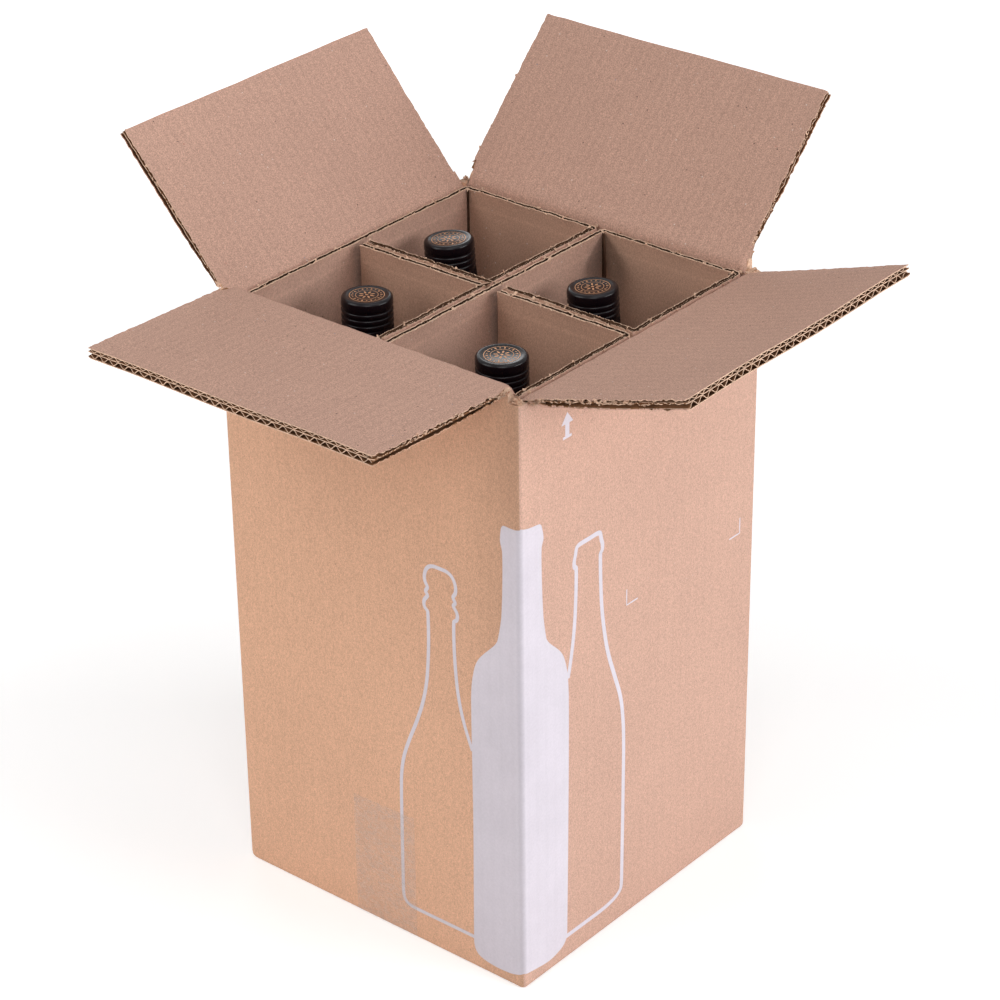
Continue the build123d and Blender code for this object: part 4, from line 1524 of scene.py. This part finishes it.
class BOX_OT_stage(bpy.types.Operator):
    """Pale floor, soft light and the camera"""
    bl_idname = "box.stage"
    bl_label = "Stage"

    def execute(self, context):
        self.floor()
        self.world()
        self.lights()
        self.camera(context)
        context.scene.view_settings.view_transform = "Standard"
        return {"FINISHED"}

    def floor(self):
        """Matt floor that shows the shadow near the box and is seen white far from it."""
        bm = bmesh.new()
        bmesh.ops.create_grid(bm, x_segments=2, y_segments=2, size=FLOOR_REACH)
        mesh = bpy.data.meshes.new("floor")
        bm.to_mesh(mesh)
        bm.free()
        surface = bpy.data.materials.new("pale_floor")
        surface.use_nodes = True
        tree = surface.node_tree
        tree.nodes.clear()
        place = add_node(tree, "ShaderNodeTexCoord").outputs["Object"]
        away = add_node(tree, "ShaderNodeVectorMath", {0: place}, operation="LENGTH")
        glow = spread(tree, away.outputs["Value"], *FLOOR_GLOW)
        diffuse = add_node(tree, "ShaderNodeBsdfDiffuse", {0: (0.8, 0.8, 0.8, 1)}).outputs[0]
        shine = add_node(tree, "ShaderNodeEmission", {"Strength": glow}).outputs[0]
        both = add_node(tree, "ShaderNodeAddShader", {0: diffuse, 1: shine}).outputs[0]
        seen = add_node(tree, "ShaderNodeLightPath").outputs["Is Camera Ray"]
        mix = add_node(tree, "ShaderNodeMixShader", {0: seen, 1: diffuse, 2: both})
        add_node(tree, "ShaderNodeOutputMaterial", {0: mix.outputs[0]})
        mesh.materials.append(surface)
        floor = bpy.data.objects.new("floor", mesh)
        bpy.context.scene.collection.objects.link(floor)

    def world(self):
        """Weak even light, but white where it is seen, mirrored or looked at through tape."""
        world = bpy.data.worlds.new("studio")
        bpy.context.scene.world = world
        world.use_nodes = True
        tree = world.node_tree
        tree.nodes.clear()
        path = add_node(tree, "ShaderNodeLightPath").outputs
        shown = path["Is Camera Ray"]
        for ray in ("Is Glossy Ray", "Is Transmission Ray"):
            shown = add_node(tree, "ShaderNodeMath", {0: shown, 1: path[ray]},
                             operation="MAXIMUM").outputs[0]
        light, seen = (
            add_node(tree, "ShaderNodeBackground",
                     {"Color": (1, 1, 1, 1), "Strength": strength}).outputs[0]
            for strength in (WORLD_LIGHT, 1.0)
        )
        mix = add_node(tree, "ShaderNodeMixShader", {0: shown, 1: light, 2: seen})
        add_node(tree, "ShaderNodeOutputWorld", {0: mix.outputs[0]})

    def lights(self):
        """Soft square lamps, all aimed at the middle of the box."""
        for name, place, size, power, colour in LAMPS:
            lamp = bpy.data.lights.new(name, "AREA")
            lamp.energy = power
            lamp.size = size
            lamp.color = colour
            light = bpy.data.objects.new(name, lamp)
            light.location = place
            aim = Vector((0, 0, LAMP_AIM)) - Vector(place)
            light.rotation_euler = aim.to_track_quat("-Z", "Y").to_euler()
            bpy.context.scene.collection.objects.link(light)

    def camera(self, context):
        """Camera that stands where the photo was taken from, by its settings."""
        stage = context.scene.box_stage
        azimuth, elevation = math.radians(stage.azimuth), math.radians(stage.elevation)
        back = Vector((math.sin(azimuth) * math.cos(elevation),
                       -math.cos(azimuth) * math.cos(elevation), math.sin(elevation)))
        lens = bpy.data.cameras.new("camera")
        lens.sensor_width = 36.0
        lens.lens = stage.lens
        lens.shift_x = stage.shift_x
        lens.shift_y = stage.shift_y
        lens.clip_end = 50
        camera = bpy.data.objects.new("camera", lens)
        camera.location = Vector((0, 0, stage.aim)) + back * stage.distance
        right = (-back).cross(UP).normalized()
        over = right.cross(-back)
        roll = math.radians(stage.roll)
        side = right * math.cos(roll) + over * math.sin(roll)
        over = over * math.cos(roll) - right * math.sin(roll)
        turn = Matrix((side, over, back)).transposed()
        camera.rotation_euler = turn.to_euler()
        context.scene.collection.objects.link(camera)
        context.scene.camera = camera


STEPS = ("carton", "flaps", "creases", "sleeves", "bottles", "caps", "print", "tape", "stage")


class BOX_PT_panel(bpy.types.Panel):
    """Lists the pieces of the shipping box"""
    bl_idname = "BOX_PT_panel"
    bl_label = "Shipping box"
    bl_space_type = "VIEW_3D"
    bl_region_type = "UI"
    bl_category = "Shipping box"

    def draw(self, context):
        for step in STEPS:
            self.layout.operator("box." + step)
        for group in (context.scene.box_board, context.scene.box_colours, context.scene.box_caps,
                      context.scene.box_stage):
            for key in group.__annotations__:
                self.layout.prop(group, key)


CLASSES = (BoardSizes, PaperColours, CapSizes, StageSettings, BOX_OT_carton, BOX_OT_flaps,
           BOX_OT_creases, BOX_OT_sleeves, BOX_OT_bottles, BOX_OT_caps, BOX_OT_print,
           BOX_OT_tape, BOX_OT_stage, BOX_PT_panel)
GROUPS = {"box_board": BoardSizes, "box_colours": PaperColours, "box_caps": CapSizes,
          "box_stage": StageSettings}


def register():
    """Adds the classes, and the settings to the scene."""
    for entry in CLASSES:
        bpy.utils.register_class(entry)
    for name, group in GROUPS.items():
        setattr(bpy.types.Scene, name, PointerProperty(type=group))


def unregister():
    """Takes the settings and the classes out again."""
    for name in GROUPS:
        delattr(bpy.types.Scene, name)
    for entry in reversed(CLASSES):
        bpy.utils.unregister_class(entry)


def main():
    """Makes every piece in order."""
    register()
    for step in STEPS:
        getattr(bpy.ops.box, step)()


if __name__ == "__main__":
    main()
